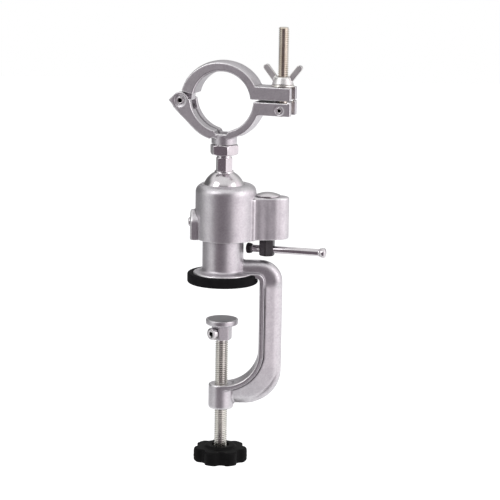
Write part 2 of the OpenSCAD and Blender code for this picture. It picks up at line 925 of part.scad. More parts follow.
// Upper half of the ring, which opens about the hinge pin
module upper_jaw() {
    color(cast_metal)
        rotate([0, 0, ring_dir])
            translate([0, 0, grip_z])
                difference() {
                    union() {
                        along_y(jaw_w)
                            upper_jaw_outline();
                        along_y(knuckle_w)
                            knuckle_outline();
                    }
                    bolt_slot(upper_arm_low - over, arm_t + 2 * over);
                    translate([hinge_at[0], 0, hinge_at[1]])
                        rotate([90, 0, 0])
                            cylinder(r = hinge_pin_d / 2 + run_gap, h = jaw_w, center = true);
                }
}

// Pin with a hollow at each end, lying across the jaws at a place in the ring's plane
module cross_pin(at, d) {
    translate([at[0], 0, grip_z + at[1]])
        rotate([90, 0, 0])
            difference() {
                cylinder(r = d / 2, h = jaw_w - edge, center = true);
                for (side = [-1, 1])
                    translate([0, 0, side * (jaw_half - edge)])
                        cylinder(r = d / 4, h = 2 * edge, center = true);
            }
}

// Pin that the upper jaw turns on
module hinge_pin() {
    color(bright_metal)
        rotate([0, 0, ring_dir])
            cross_pin(hinge_at, hinge_pin_d);
}

// Pin that the eye bolt swings on
module eye_pin() {
    color(bright_metal)
        rotate([0, 0, ring_dir])
            cross_pin(eye_at, eye_pin_d);
}

// Eye bolt that swings on its pin in the lower arm
module eye_bolt() {
    color(yellow_zinc)
        rotate([0, 0, ring_dir])
            translate([eye_at[0], 0, grip_z + eye_at[1]])
                difference() {
                    union() {
                        rotate([90, 0, 0])
                            translate([0, 0, -eye_t / 2])
                                broken_bar(eye_r, eye_t, edge);
                        translate([0, 0, eye_pin_d / 2])
                            broken_bar(bolt_d / 2, bolt_top - eye_at[1] - eye_pin_d / 2,
                                bolt_pitch * chamfer_share);
                    }
                    rotate([90, 0, 0])
                        cylinder(r = eye_pin_d / 2 + run_gap, h = eye_t + 2 * over, center = true);
                }
}

// Washer between the upper arm and the wing nut
module wing_washer() {
    color(zinc)
        rotate([0, 0, ring_dir])
            translate([bolt_x, 0, grip_z + washer_bottom])
                difference() {
                    broken_bar(wing_washer_r, wing_washer_t, edge / 3);
                    translate([0, 0, -over])
                        cylinder(r = bolt_d / 2 + run_gap, h = wing_washer_t + 2 * over);
                }
}

// Two circles of the plane and the straight band that touches both
module band(from, from_r, to, to_r) {
    span = to - from;
    heading = atan2(span[1], span[0]);
    lean = acos((from_r - to_r) / norm(span));
    translate(from)
        circle(r = from_r);
    translate(to)
        circle(r = to_r);
    polygon([for (turn = [heading + lean, heading - lean]) from + from_r * [cos(turn), sin(turn)],
        for (turn = [heading - lean, heading + lean]) to + to_r * [cos(turn), sin(turn)]]);
}

// Wing nut: a tapered body with two round-tipped wings
module wing_nut() {
    root_at = [wing_top_r - wing_tip_r / 2, wing_body_h / 2];
    color(zinc)
        rotate([0, 0, ring_dir])
            translate([bolt_x, 0, grip_z + wing_bottom])
                difference() {
                    union() {
                        rotate_extrude()
                            polygon([[0, 0], [wing_base_r, 0], [wing_base_r, edge],
                                [wing_top_r, wing_body_h - edge], [wing_top_r - edge, wing_body_h],
                                [0, wing_body_h]]);
                        for (side = [0, 1])
                            mirror([side, 0, 0])
                                along_y(wing_t)
                                    band(root_at, wing_tip_r, [wing_tip_x, wing_tip_z],
                                        wing_tip_r);
                    }
                    translate([0, 0, -over])
                        cylinder(r = bolt_d / 2 + run_gap, h = wing_tip_z + wing_body_h);
                }
}

// Foot that swivels on the tip of the clamp screw
module clamp_foot() {
    bore_h = foot_top - foot_roof - foot_bottom;
    color(cast_metal)
        difference() {
            union() {
                translate([0, 0, foot_top - foot_disc_t])
                    rotate_extrude()
                        polygon([[0, 0], [hex_r(hub_af) + edge / 2, 0],
                            [foot_r, foot_disc_t - foot_rim_t],
                            [foot_r, foot_disc_t - edge / 2], [foot_r - edge / 2, foot_disc_t],
                            [0, foot_disc_t]]);
                translate([0, 0, foot_bottom])
                    rotate([0, 0, set_screw_dir + 30])
                        hex_bar(hub_af, hub_h + edge);
            }
            translate([0, 0, foot_bottom - over])
                cylinder(r = tip_r + run_gap, h = bore_h + over);
            translate([0, 0, set_screw_z])
                rotate([0, 90, set_screw_dir])
                    cylinder(r = set_screw_d / 2 + run_gap, h = hub_af);
        }
}

// Set screw that keeps the foot on the screw's tip
module foot_set_screw() {
    start = tip_r - groove_depth + side_gap / 2;
    color(bright_metal)
        translate([0, 0, set_screw_z])
            rotate([0, 90, set_screw_dir])
                difference() {
                    union() {
                        translate([0, 0, start])
                            cylinder(r = tip_r / 2 - side_gap, h = tip_r);
                        translate([0, 0, tip_r + side_gap])
                            cylinder(r = set_screw_d / 2, h = hub_af / 2 - tip_r);
                        translate([0, 0, hub_af / 2 + run_gap])
                            broken_bar(set_head_d / 2, set_head_h, edge);
                    }
                    translate([0, 0, hub_af / 2 + set_head_h / 2])
                        cylinder(r = set_screw_d / 3, h = set_head_h, $fn = 6);
                }
}

// Clamp screw with a grooved tip for the foot
module clamp_screw() {
    shoulder_z = foot_bottom - face_gap;
    tip_top = foot_top - foot_roof - face_gap;
    rod_bottom = insert_top - insert_h + edge;
    color(zinc)
        difference() {
            union() {
                translate([0, 0, rod_bottom])
                    broken_bar(screw_r, shoulder_z - rod_bottom, screw_pitch * chamfer_share);
                translate([0, 0, shoulder_z - edge])
                    broken_bar(tip_r, tip_top - shoulder_z + edge, edge);
            }
            translate([0, 0, set_screw_z - groove_w / 2])
                difference() {
                    cylinder(r = tip_r + over, h = groove_w);
                    cylinder(r = tip_r - groove_depth, h = groove_w);
                }
        }
}

// Steel bush moulded into the knob and fixed to the screw
module knob_insert() {
    color(zinc)
        translate([0, 0, insert_top - insert_h])
            difference() {
                broken_bar(insert_r, insert_h, edge);
                translate([0, 0, edge])
                    cylinder(r = screw_r, h = insert_h);
            }
}

// Lobed outline in which every lobe runs smoothly into a round hollow
module star_outline() {
    difference() {
        circle(r = knob_core_r);
        for (i = [0:lobe_count - 1])
            rotate((i + 0.5) * lobe_step)
                translate([valley_x, 0])
                    circle(r = valley_r);
    }
    for (i = [0:lobe_count - 1])
        rotate(i * lobe_step)
            translate([lobe_x, 0])
                circle(r = lobe_r);
}

// Section that rounds the knob: flat underside, soft rim and a raised centre
module knob_section() {
    rim_r = 3 * edge;
    difference() {
        union() {
            translate([0, knob_bottom])
                square([knob_r - rim_r, knob_rim_h]);
            translate([0, knob_bottom + rim_r])
                square([knob_r, knob_rim_h - 2 * rim_r]);
            for (z = [knob_bottom + rim_r, knob_rim_top - rim_r])
                translate([knob_r - rim_r, z])
                    circle(r = rim_r);
            polygon([[0, knob_rim_top - edge], [knob_hub_r + knob_hub_rise, knob_rim_top - edge],
                [knob_hub_r, knob_top], [0, knob_top]]);
        }
        translate([0, knob_rim_top])
            square([insert_r - edge, knob_hub_rise + over]);
        translate([-knob_r - over, knob_bottom - over])
            square([knob_r + over, knob_rim_h + knob_hub_rise + 2 * over]);
    }
}

// Moulded star knob
module hand_knob() {
    color(plastic)
        difference() {
            intersection() {
                rotate_extrude()
                    knob_section();
                translate([0, 0, knob_bottom - over])
                    rotate([0, 0, knob_turn])
                        linear_extrude(knob_top - knob_bottom + 2 * over)
                            star_outline();
            }
            translate([0, 0, insert_top - insert_h])
                broken_bar(insert_r, insert_h, edge);
            translate([0, 0, insert_top - edge])
                cylinder(r = insert_r - edge, h = knob_hub_rise + over);
        }
}

c_frame();
rubber_pad();
clamp_cap();
fulcrum_screw();
lock_dome_nut();
lock_washer();
lock_screw();
tommy_bar();
bar_cap_inner();
bar_cap_outer();
ball_seat();
ball_stud();
jam_nut();
lower_jaw();
upper_jaw();
hinge_pin();
eye_pin();
eye_bolt();
wing_washer();
wing_nut();
clamp_foot();
foot_set_screw();
clamp_screw();
knob_insert();
hand_knob();
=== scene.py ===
"""Dresses the swivel bench vise: a ring clamp on a lockable ball, carried by a C-clamp."""
import json
import math

import bmesh
import bpy
import numpy as np
from mathutils import Matrix, Vector, noise as field


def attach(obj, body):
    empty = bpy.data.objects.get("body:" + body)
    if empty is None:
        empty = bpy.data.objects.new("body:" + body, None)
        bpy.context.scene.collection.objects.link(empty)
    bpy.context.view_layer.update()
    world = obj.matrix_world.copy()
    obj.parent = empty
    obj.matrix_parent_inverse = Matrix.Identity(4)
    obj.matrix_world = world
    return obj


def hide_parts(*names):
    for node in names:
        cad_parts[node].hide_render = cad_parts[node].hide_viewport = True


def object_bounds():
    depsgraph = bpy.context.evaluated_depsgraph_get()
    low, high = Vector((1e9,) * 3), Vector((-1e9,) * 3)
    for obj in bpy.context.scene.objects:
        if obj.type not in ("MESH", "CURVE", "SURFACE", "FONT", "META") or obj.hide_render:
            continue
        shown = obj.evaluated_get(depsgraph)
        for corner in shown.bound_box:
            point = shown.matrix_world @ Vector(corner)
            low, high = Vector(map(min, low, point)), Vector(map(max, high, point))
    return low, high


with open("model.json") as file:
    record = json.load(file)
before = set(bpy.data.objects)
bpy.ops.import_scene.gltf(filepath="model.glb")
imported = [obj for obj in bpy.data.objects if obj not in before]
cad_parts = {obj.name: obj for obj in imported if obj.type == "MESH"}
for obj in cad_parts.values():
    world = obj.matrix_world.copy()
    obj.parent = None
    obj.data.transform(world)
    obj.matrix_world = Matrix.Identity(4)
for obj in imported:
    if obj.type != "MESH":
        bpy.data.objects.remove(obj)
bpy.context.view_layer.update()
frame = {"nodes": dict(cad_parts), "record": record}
NODES = frame["nodes"]
BODY_OF = {n: body for body, nodes in frame["record"]["behaviour"]["bodies"].items()
           for n in nodes}
SLOT_OF = {part["node"]: part["material_slot"] for part in frame["record"]["subparts"]}
MM = 0.001

# Camera, worked out from the photograph's ellipses and edges
CAMERA_AZIMUTH = 1.0
CAMERA_DISTANCE = 1.2
CAMERA_HEIGHT = 0.2616
CAMERA_YAW = -0.804
CAMERA_PITCH = 11.355
CAMERA_ROLL = 0.968
CAMERA_LENS = 141.26
SENSOR_WIDTH = 36

# Floor, in metres from the post's axis, and where its reflection starts to pale from the left
FLOOR_SIDE = 1.6
FLOOR_FRONT = -0.1
FLOOR_BACK = 2.4
FLOOR_PALE_FROM = -0.6

# Directions that the ring's arms, the bar and the foot's set screw are drawn in, in degrees
RING_DIRECTION = -18.0
BAR_DIRECTION = -15.0
SET_SCREW_DIRECTION = -138.0
RING_COS = math.cos(math.radians(RING_DIRECTION))
RING_SIN = math.sin(math.radians(RING_DIRECTION))

# Places and sizes of the CAD, in millimetres
GRIP_Z = 114.05
GRIP_R = 18.5
JAW_HALF = 7.5
LOWER_RELIEF = 2.0
LOWER_BORE_R = 20.5
UPPER_OUT_AT = (-1.3, -2.1)
UPPER_OUT_R = 26.0
LOWER_ARM_TOP = 1.1
UPPER_ARM_LOW = 2.3
HINGE_AT = (-27.0, -0.6)
EYE_AT = (37.0, -3.6)
BOLT_X = 37.0
BOLT_TOP = 160.55
WING_BOTTOM = 11.9
BALL_Z = 57.85
BALL_R = 13.2
SHANK_TOP = 80.65
LOCK_X = 27.4
LUG_TOP = 54.9
BAR_Z = 21.4
FULCRUM_Z = 38.0
ARCH_FRONT = -22.0
SET_SCREW_Z = -32.3
CLAMP_SCREW_LOW = -112.5
BAR_R = 2.3
FOOT_TOP = -23.4
FOOT_BOTTOM = -36.7
BEND_AT = (1.6, -43.8)
BEND_R = 24.6
BEND_CLEAR_R = 8.6
FLANGE_HALF = 1.65
POST_R = 14
LUG_ROOT = 19.0

# Where the jaws' crowned skin runs out into the clamp arms and into the neck, in millimetres
ARM_FADE = (18, 22)
NECK_FADE = (8, 12)

# What the photograph shows beyond the CAD's solids, in millimetres
RING_CROWN = 1.0
FULLER_DEPTH = 1.5
LOWER_LIP = 0.6
UPPER_LIP = 1.1
GROOVE_Y = 0.8
GROOVE_DEPTH = 1.0
NOTCH_DEPTH = 0.9
STUD_HOLE_DEPTH = 1.1
ARM_LIP = 1.0
ARM_LIP_X = 41.9
SKIN_SHIFT = 1.4
SKIRT_DROP = 1.6
LUG_DROP = 0.6
LUG_HOLLOW = 0.9
BOSS_DROP = 0.9
HEAD_TOP_DROP = 0.8
HEAD_LOW_DROP = 0.6
KNOB_RIM_DROP = 1.6
KNOB_RIDGE = 0.14
THREAD_PITCH = 1.25
BOLT_THREAD_R = 3.2
BOLT_THREAD_DEPTH = 0.6
CLAMP_THREAD_R = 4.0
CLAMP_THREAD_DEPTH = 0.58

# The same as shares of a width: the rib at its root, the rib's draft for each millimetre, the
# flange's crown, and how much wider the lug is at its root and narrower at its end
RIB_ROOT_SHARE = 1.12
RIB_DRAFT_SHARE = 0.06
FLANGE_CROWN_SHARE = 0.06
LUG_ROOT_SHARE = 0.13
LUG_TAPER_SHARE = 0.22

# How close to a flat face its points lie, and how steep the bores' edges are
FACE_SLACK = 0.3
LIP_SLOPE = 0.9

# A casting's waves, in millimetres, and its wear and painted shade: the value on an even face,
# and how far a rounded edge, worn paler, or a filled corner, painted darker as shade, takes it up
# or down
WAVE_SIZE = 4
EVEN_WEAR_AND_SHADE = 0.5
WEAR_AND_SHADE_GAIN = 0.9

# Darkening, as what it takes off the edge value: painted shade in deep recesses, a crease and
# under the cap, a darker bore, a painted dark reflection on the foot's face, and painted shade in
# a thread's grooves
DEEP_PAINTED_SHADE = 0.6
CREASE_PAINTED_SHADE = 0.22
UNDER_CAP_PAINTED_SHADOW = 0.24
FOOT_FACE_PAINTED_REFLECTION = 0.24
BORE_DARKENING = 0.16
THREAD_ROOT_PAINTED_SHADE = 0.3

# Edges sharper than these stay sharp, in degrees
SHARP_ANGLE = 32
THREAD_ANGLE = 28
NO_SHARP_EDGE = 180

# Turned pieces: angles of a round row, angles within each side of a hexagon, which are closer at
# its corners, how soft these corners are, and points round a thread
ROUND_ANGLES = [3.75 * i for i in range(96)]
HEXAGON_OFFSETS = (0, 0.8, 1.8, 4, 8, 12, 16.5, 21, 25.5, 30, 34.5, 39, 43.5, 48, 52, 56, 58.2,
                   59.2)
HEXAGON_SOFTNESS = 0.12
THREAD_COLUMNS = 40

# Colours: a worn edge, painted shade in a corner or recess (also a darker bore and a painted dark
# reflection), and painted shade in a hollow
WORN_COLOUR = (0.86, 0.85, 0.86)
PAINTED_DARK_COLOUR = (0.16, 0.155, 0.165)
HOLLOW_SHADE_COLOUR = (0.02, 0.02, 0.02)
WORN_ROUGHNESS = (0.25, 0.25, 0.25)


# Shader helpers

def new_material(name):
    """An empty node material with a Principled shader; returns (material, tree, shader)."""
    mat = bpy.data.materials.new(name)
    mat.use_nodes = True
    tree = mat.node_tree
    shader = tree.nodes["Principled BSDF"]
    return mat, tree, shader


def noise(tree, size, detail, roughness):
    """A noise texture in the part's own frame; size is that of its features, in millimetres."""
    coords = tree.nodes.new("ShaderNodeTexCoord")
    texture = tree.nodes.new("ShaderNodeTexNoise")
    texture.inputs["Scale"].default_value = 1 / (size * MM)
    texture.inputs["Detail"].default_value = detail
    texture.inputs["Roughness"].default_value = roughness
    tree.links.new(coords.outputs["Object"], texture.inputs["Vector"])
    return texture.outputs["Fac"]


def point_value(tree, name):
    """A number that the mesh carries at its points."""
    node = tree.nodes.new("ShaderNodeAttribute")
    node.attribute_name = name
    return node.outputs["Fac"]


def ramp(tree, value, stops):
    """A colour ramp over a value; stops are (position, colour or grey level)."""
    node = tree.nodes.new("ShaderNodeValToRGB")
    elements = node.color_ramp.elements
    while len(elements) < len(stops):
        elements.new(0.5)
    for element, (position, colour) in zip(elements, stops):
        element.position = position
        if not isinstance(colour, tuple):
            colour = (colour,) * 3
        element.color = (*colour, 1)
    tree.links.new(value, node.inputs["Fac"])
    return node.outputs["Color"]


def math_node(tree, operation, *values):
    """A math node fed by sockets or numbers."""
    node = tree.nodes.new("ShaderNodeMath")
    node.operation = operation
    for socket, value in zip(node.inputs, values):
        if isinstance(value, (int, float)):
            socket.default_value = value
        else:
            tree.links.new(value, socket)
    return node.outputs[0]


def mix(tree, factor, first, second, blend="MIX"):
    """Mixes two colours; each argument is a socket, or for the colours a tuple."""
    node = tree.nodes.new("ShaderNodeMix")
    node.data_type = "RGBA"
    node.blend_type = blend
    sockets = {s.identifier: s for s in node.inputs}
    for key, value in (("Factor_Float", factor), ("A_Color", first), ("B_Color", second)):
        if isinstance(value, (int, float)):
            sockets[key].default_value = value
        elif isinstance(value, tuple):
            sockets[key].default_value = (*value, 1)
        else:
            tree.links.new(value, sockets[key])
    return {s.identifier: s for s in node.outputs}["Result_Color"]


def bump(tree, shader, height, depth):
    """Adds a bump to the shader, on top of any bump that it has; depth is in millimetres."""
    node = tree.nodes.new("ShaderNodeBump")
    node.inputs["Distance"].default_value = depth * MM
    tree.links.new(height, node.inputs["Height"])
    normal = shader.inputs["Normal"]
    if normal.is_linked:
        tree.links.new(normal.links[0].from_socket, node.inputs["Normal"])
    tree.links.new(node.outputs["Normal"], normal)


def mottled(tree, size, detail, dark, light):
    """A colour that drifts between two tones."""
    return ramp(tree, noise(tree, size, detail, 0.6), [(0.3, dark), (0.7, light)])


def grainy(tree, grain, rough):
    """A roughness that follows a grain between two values."""
    return ramp(tree, grain, [(0.25, rough[0]), (0.75, rough[1])])


def casting(name, dark, light, rough):
    """Blasted cast metal: mottled, grainy, paler and smoother along its rounded edges, with
    painted shade in its corners and recesses.
    """
    mat, tree, shader = new_material(name)
    shader.inputs["Metallic"].default_value = 1.0
    edge = point_value(tree, "edge")
    fleck = noise(tree, 1.2, 3.0, 0.7)
    worn = math_node(tree, "MULTIPLY", edge, math_node(tree, "ADD", fleck, 0.6))
    colour = mix(tree, ramp(tree, worn, [(0.5, 0.0), (0.78, 0.75)]),
                 mottled(tree, 7, 4.0, dark, light), WORN_COLOUR)
    # Painted shade: darker where the edge value is low, in filled corners and the places that the
    # shapes mark
    colour = mix(tree, ramp(tree, edge, [(0.04, 0.92), (0.22, 0.65), (0.46, 0.0)]),
                 colour, PAINTED_DARK_COLOUR)
    tree.links.new(colour, shader.inputs["Base Color"])
    grain = noise(tree, 0.55, 2.0, 0.6)
    roughness = mix(tree, ramp(tree, worn, [(0.5, 0.0), (0.8, 0.5)]),
                    grainy(tree, grain, rough), WORN_ROUGHNESS)
    tree.links.new(roughness, shader.inputs["Roughness"])
    bump(tree, shader, grain, 0.012)
    bump(tree, shader, noise(tree, 2.5, 3.0, 0.6), 0.03)
    return mat


def metal(name, dark, light, rough, grain_size, grain_depth):
    """A metal with its own two tones, roughness range and grain, and painted shade in its
    hollows.
    """
    mat, tree, shader = new_material(name)
    shader.inputs["Metallic"].default_value = 1.0
    # Painted shade: near black where the hollow value is set
    colour = mix(tree, point_value(tree, "hollow"), mottled(tree, 6, 3.0, dark, light),
                 HOLLOW_SHADE_COLOUR)
    tree.links.new(colour, shader.inputs["Base Color"])
    grain = noise(tree, grain_size, 2.0, 0.6)
    tree.links.new(grainy(tree, grain, rough), shader.inputs["Roughness"])
    bump(tree, shader, grain, grain_depth)
    return mat


def dull(name, dark, light, rough, grain_size, grain_depth):
    """A rubber or plastic with a fine moulded grain."""
    mat, tree, shader = new_material(name)
    shader.inputs["Specular IOR Level"].default_value = 0.1
    tree.links.new(mottled(tree, 5, 4.0, dark, light), shader.inputs["Base Color"])
    grain = noise(tree, grain_size, 3.0, 0.6)
    tree.links.new(grainy(tree, grain, rough), shader.inputs["Roughness"])
    bump(tree, shader, grain, grain_depth)
    return mat


MATERIALS = {
    "cast_aluminium": casting("cast aluminium", (0.57, 0.545, 0.575), (0.68, 0.65, 0.68),
                              (0.36, 0.48)),
    "chrome": metal("chrome", (0.66, 0.63, 0.65), (0.78, 0.75, 0.77), (0.13, 0.21), 0.8, 0.002),
    "zinc_steel": metal("zinc steel", (0.83, 0.81, 0.76), (0.94, 0.92, 0.87), (0.14, 0.26),
                        0.4, 0.004),
    "winged_nut": metal("satin zinc", (0.72, 0.71, 0.70), (0.84, 0.83, 0.82), (0.34, 0.46),
                        0.5, 0.01),
    "yellow_zinc": metal("yellow zinc", (0.80, 0.72, 0.61), (0.92, 0.86, 0.78), (0.16, 0.26),
                         0.4, 0.004),
    "dark_steel": metal("dark steel", (0.05, 0.047, 0.05), (0.10, 0.095, 0.10), (0.24, 0.38),
                        0.3, 0.006),
    "rubber": dull("rubber", (0.005, 0.005, 0.006), (0.011, 0.010, 0.011), (0.6, 0.8),
                   0.25, 0.02),
    "black_plastic": dull("black plastic", (0.003, 0.0028, 0.003), (0.006, 0.0056, 0.006),
                          (0.5, 0.68), 0.3, 0.02),
    "sintered_bronze": metal("sintered bronze", (0.34, 0.26, 0.16), (0.46, 0.36, 0.22),
                             (0.4, 0.6), 0.3, 0.02),
}


# Making pieces

def add_object(name, data):
    """A new object of the scene."""
    obj = bpy.data.objects.new(name, data)
    bpy.context.scene.collection.objects.link(obj)
    return obj


def shade(mesh, angle):
    """Smooth shading that keeps the edges sharper than an angle, in degrees."""
    mesh.polygons.foreach_set("use_smooth", [True] * len(mesh.polygons))
    mesh.set_sharp_from_angle(angle=math.radians(angle))


def stand_in(name, mesh, node, angle):
    """Puts a mesh in a CAD node's stead, on that node's body.

    Its material is the slot's, unless the piece has a finish of its own.
    """
    piece = add_object(name, mesh)
    mesh.materials.clear()
    mesh.materials.append(MATERIALS.get(name, MATERIALS[SLOT_OF[node]]))
    shade(mesh, angle)
    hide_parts(node)
    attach(piece, BODY_OF[node])


def mesh_of(name, parts):
    """One clean mesh from several (vertices, faces) parts, their vertices in millimetres."""
    verts, faces = [], []
    for part_verts, part_faces in parts:
        start = len(verts)
        verts += [tuple(MM * c for c in v) for v in part_verts]
        faces += [tuple(start + i for i in face) for face in part_faces]
    mesh = bpy.data.meshes.new(name)
    mesh.from_pydata(verts, [], faces)
    bm = bmesh.new()
    bm.from_mesh(mesh)
    bmesh.ops.remove_doubles(bm, verts=bm.verts, dist=0.002 * MM)
    bmesh.ops.dissolve_degenerate(bm, edges=bm.edges, dist=0.001 * MM)
    bmesh.ops.recalc_face_normals(bm, faces=bm.faces)
    bm.to_mesh(mesh)
    bm.free()
    return mesh


def give_points(mesh, name, values):
    """Stores a number at each point of a mesh, for its material."""
    mesh.attributes.new(name, "FLOAT", "POINT").data.foreach_set("value", values)


def made(name, node, parts, angle=SHARP_ANGLE, hollows=(), grooves=None):
    """A piece of its own from parts, in a CAD node's stead.

    Points inside the hollows, each a centre and a radius in mm, count as dark, as painted shade.
    So do, in part, those of a thread's grooves, as painted shade between its ridges: its axis,
    the radius that they lie within, and two heights.
    """
    mesh = mesh_of(name, parts)
    dark = []
    for vert in mesh.vertices:
        spot = vert.co / MM
        share = float(any((spot - at).length < radius for at, radius in hollows))
        if grooves:
            axis, radius, low, high = grooves
            if low < spot.z < high and math.hypot(spot.x - axis.x, spot.y - axis.y) < radius:
                # Painted shade in the thread's grooves
                share = THREAD_ROOT_PAINTED_SHADE
        dark.append(share)
    give_points(mesh, "hollow", dark)
    stand_in(name, mesh, node, angle)


def values_of(items, key, width, kind=float):
    """A property of each of a mesh's items, one row an item."""
    values = np.empty(len(items) * width, dtype=kind)
    items.foreach_get(key, values)
    return values.reshape(-1, width)


def fused(name, node, voxel, extra, alone):
    """The skin round a CAD node and extra parts, or round these alone, in voxels of a size."""
    bm = bmesh.new()
    if not alone:
        bm.from_mesh(NODES[node].data)
    if extra:
        bm.from_mesh(mesh_of(name + "_extra", extra))
    mesh = bpy.data.meshes.new(name + "_source")
    bm.to_mesh(mesh)
    bm.free()
    source = add_object(name + "_source", mesh)
    remesh = source.modifiers.new("remesh", "REMESH")
    remesh.mode = "VOXEL"
    remesh.voxel_size = voxel * MM
    shape = source.evaluated_get(bpy.context.evaluated_depsgraph_get())
    skin = bpy.data.meshes.new_from_object(shape)
    bpy.data.objects.remove(source)
    return skin


def smoothed(mesh, place, passes):
    """A mesh's points, drawn halfway to their neighbours' mean in each pass."""
    ends = values_of(mesh.edges, "vertices", 2, np.int64)
    here, there = np.concatenate([ends, ends[:, ::-1]]).T
    count = len(place)
    degree = np.bincount(here, minlength=count)[:, None]
    for _ in range(passes):
        total = np.stack([np.bincount(here, place[there, k], count) for k in range(3)], axis=1)
        place = 0.5 * place + 0.5 * total / degree
    return place


def softened(name, node, voxel, passes, uneven=0.0, reshape=None, extra=(), alone=False):
    """A CAD node with edges rounded as a casting's or moulding's, sizes in mm.

    extra parts are fused with it, or with alone stand in its place, and reshape(place,
    wear_and_shade) may move the finished points. That value is 1 on a rounded edge, worn paler,
    and 0 in a filled corner, where shade is painted darker.
    """
    mesh = fused(name, node, voxel, extra, alone)
    start = values_of(mesh.vertices, "co", 3) / MM
    normals = values_of(mesh.vertices, "normal", 3)
    place = smoothed(mesh, start, passes)
    # Wear on rounded edges, and painted shade in filled corners, from how far smoothing moved
    # each point
    wear_and_shade = EVEN_WEAR_AND_SHADE + WEAR_AND_SHADE_GAIN * ((start - place) * normals).sum(axis=1) / voxel
    if uneven:
        wave = np.array([field.noise(Vector(p) / WAVE_SIZE) for p in place])
        place = place - normals * (uneven * (0.5 + 0.5 * wave))[:, None]
    if reshape:
        reshape(place, wear_and_shade)
    mesh.vertices.foreach_set("co", (place * MM).ravel())
    give_points(mesh, "edge", np.clip(wear_and_shade, 0, 1))
    mesh.update()
    stand_in(name, mesh, node, NO_SHARP_EDGE)


# Shapes of the finished castings

def step(value, low, high):
    """A smooth rise from 0 to 1 as a value goes from low to high."""
    t = np.clip((value - low) / (high - low), 0, 1)
    return t * t * (3 - 2 * t)


def band(value, low, full, fading, high):
    """A smooth rise from low to full, and a smooth fall from fading to high."""
    return step(value, low, full) * (1 - step(value, fading, high))


def slope(distance, length):
    """A straight rise from 0 to 1 over a length."""
    return np.clip(distance / length, 0, 1)


def ring_axes(place):
    """Points along the clamp arms, across them, and up from the ring's axis."""
    along = place[:, 0] * RING_COS + place[:, 1] * RING_SIN
    across = place[:, 1] * RING_COS - place[:, 0] * RING_SIN
    return along, across, place[:, 2] - GRIP_Z


def put_ring(place, along, across, up):
    """Writes points back from the ring's axes."""
    place[:, 0] = along * RING_COS - across * RING_SIN
    place[:, 1] = along * RING_SIN + across * RING_COS
    place[:, 2] = up + GRIP_Z


def scale_about(along, up, centre, radius, wanted):
    """Moves points along their radius from a centre of the ring's plane."""
    share = wanted / np.maximum(radius, 1e-6)
    return centre[0] + (along - centre[0]) * share, centre[1] + (up - centre[1]) * share


def crown_at(y):
    """How far a jaw's outer face stands out at a distance from its middle."""
    return RING_CROWN * (1 - (y / JAW_HALF) ** 2)


def lip_radius(y, bore, width):
    """Least radius of a bore whose edges are cut back over a width."""
    return bore + (np.abs(y) - JAW_HALF + width) * LIP_SLOPE


def mating_face(x, y, z, height):
    """Where a clamp arm faces the other one, up to its rounded edges."""
    edge = JAW_HALF - 0.7
    return (np.abs(z - height) < FACE_SLACK) & (x > ARM_FADE[1]) & (np.abs(y) < edge)


def shape_lower_jaw(place, wear_and_shade):
    """Crowned and fuller outside, chamfered, grooved and notched bore, stud hole, arm's lips."""
    x, y, z = ring_axes(place)
    centre = (0.0, LOWER_RELIEF)
    r = np.hypot(x, z - centre[1])
    bore, bore_end, bore_top = LOWER_BORE_R, 20.5, 1.5
    crown = crown_at(y) * step(r, bore + 2.2, bore + 3.0)
    crown *= (1 - step(np.abs(x), *ARM_FADE)) * step(np.abs(x), *NECK_FADE)
    fuller = band(x, -34, -28, -7.5, -5.5) * band(z, -26.5, -25, -5, -1)
    fuller *= step(r, bore + 1.6, bore + 3.0)
    fuller *= step(np.hypot(x - HINGE_AT[0], z - HINGE_AT[1]), 3.4, 5.6)
    wanted = r + crown + FULLER_DEPTH * fuller
    in_bore = (r < bore + 1.6) & (x < bore_end) & (z < bore_top)
    wanted = np.where(in_bore, np.maximum(wanted, lip_radius(y, bore, LOWER_LIP)), wanted)
    groove = (1 - step(np.abs(y - GROOVE_Y), 1.0, 1.6)) * (r < bore + 0.9) * (z < bore_top)
    notch = (1 - step(np.abs(x), 3.5, 4.1)) * (z < -15) * (r < bore + 2.2)
    wanted += GROOVE_DEPTH * groove + NOTCH_DEPTH * notch
    x2, z2 = scale_about(x, z, centre, r, wanted)
    floor_z, hole_r = -18.6, (3.9, 4.4)
    stud_hole = (1 - step(np.hypot(x, y), *hole_r)) * (np.abs(z - floor_z) < 1.2)
    z2 -= STUD_HOLE_DEPTH * stud_hole
    arm_top = np.abs(z - LOWER_ARM_TOP) < FACE_SLACK
    z2 += ARM_LIP * arm_top * step(x, ARM_LIP_X, ARM_LIP_X + 0.4)
    facing = mating_face(x, y, z, LOWER_ARM_TOP) & (x < ARM_LIP_X)
    # Painted shade in the bore's groove, the stud hole and the arm's face under the upper arm
    wear_and_shade -= DEEP_PAINTED_SHADE * (groove + stud_hole + facing)
    put_ring(place, x2, y, z2)


def shape_upper_jaw(place, wear_and_shade):
    """Crowned outside, chamfered bore painted a little darker, and painted shade on the mating
    face under the arm.
    """
    x, y, z = ring_axes(place)
    r = np.hypot(x - UPPER_OUT_AT[0], z - UPPER_OUT_AT[1])
    above_arm, left_end = (7, 10), (-18, -14)
    crown = crown_at(y) * step(r, UPPER_OUT_R - 1.4, UPPER_OUT_R - 0.6)
    crown *= (1 - step(x, *ARM_FADE)) * np.maximum(step(z, *above_arm), step(x, *left_end))
    x2, z2 = scale_about(x, z, UPPER_OUT_AT, r, r + crown)
    r = np.hypot(x2, z2)
    in_bore = (r < GRIP_R + 1.4) & (z > 3.0)
    wanted = np.where(in_bore, np.maximum(r, lip_radius(y, GRIP_R, UPPER_LIP)), r)
    x2, z2 = scale_about(x2, z2, (0.0, 0.0), r, wanted)
    # Painted shade on the face under the arm, and the bore painted a little darker
    wear_and_shade -= DEEP_PAINTED_SHADE * mating_face(x, y, z, UPPER_ARM_LOW) + BORE_DARKENING * in_bore
    put_ring(place, x2, y, z2)


def on_bow(x, y, z):
    """Where the C lies below the bench's top and clear of the post and the boss."""
    return step(-z, -2, 4) * (np.hypot(x, y) > BEND_CLEAR_R)


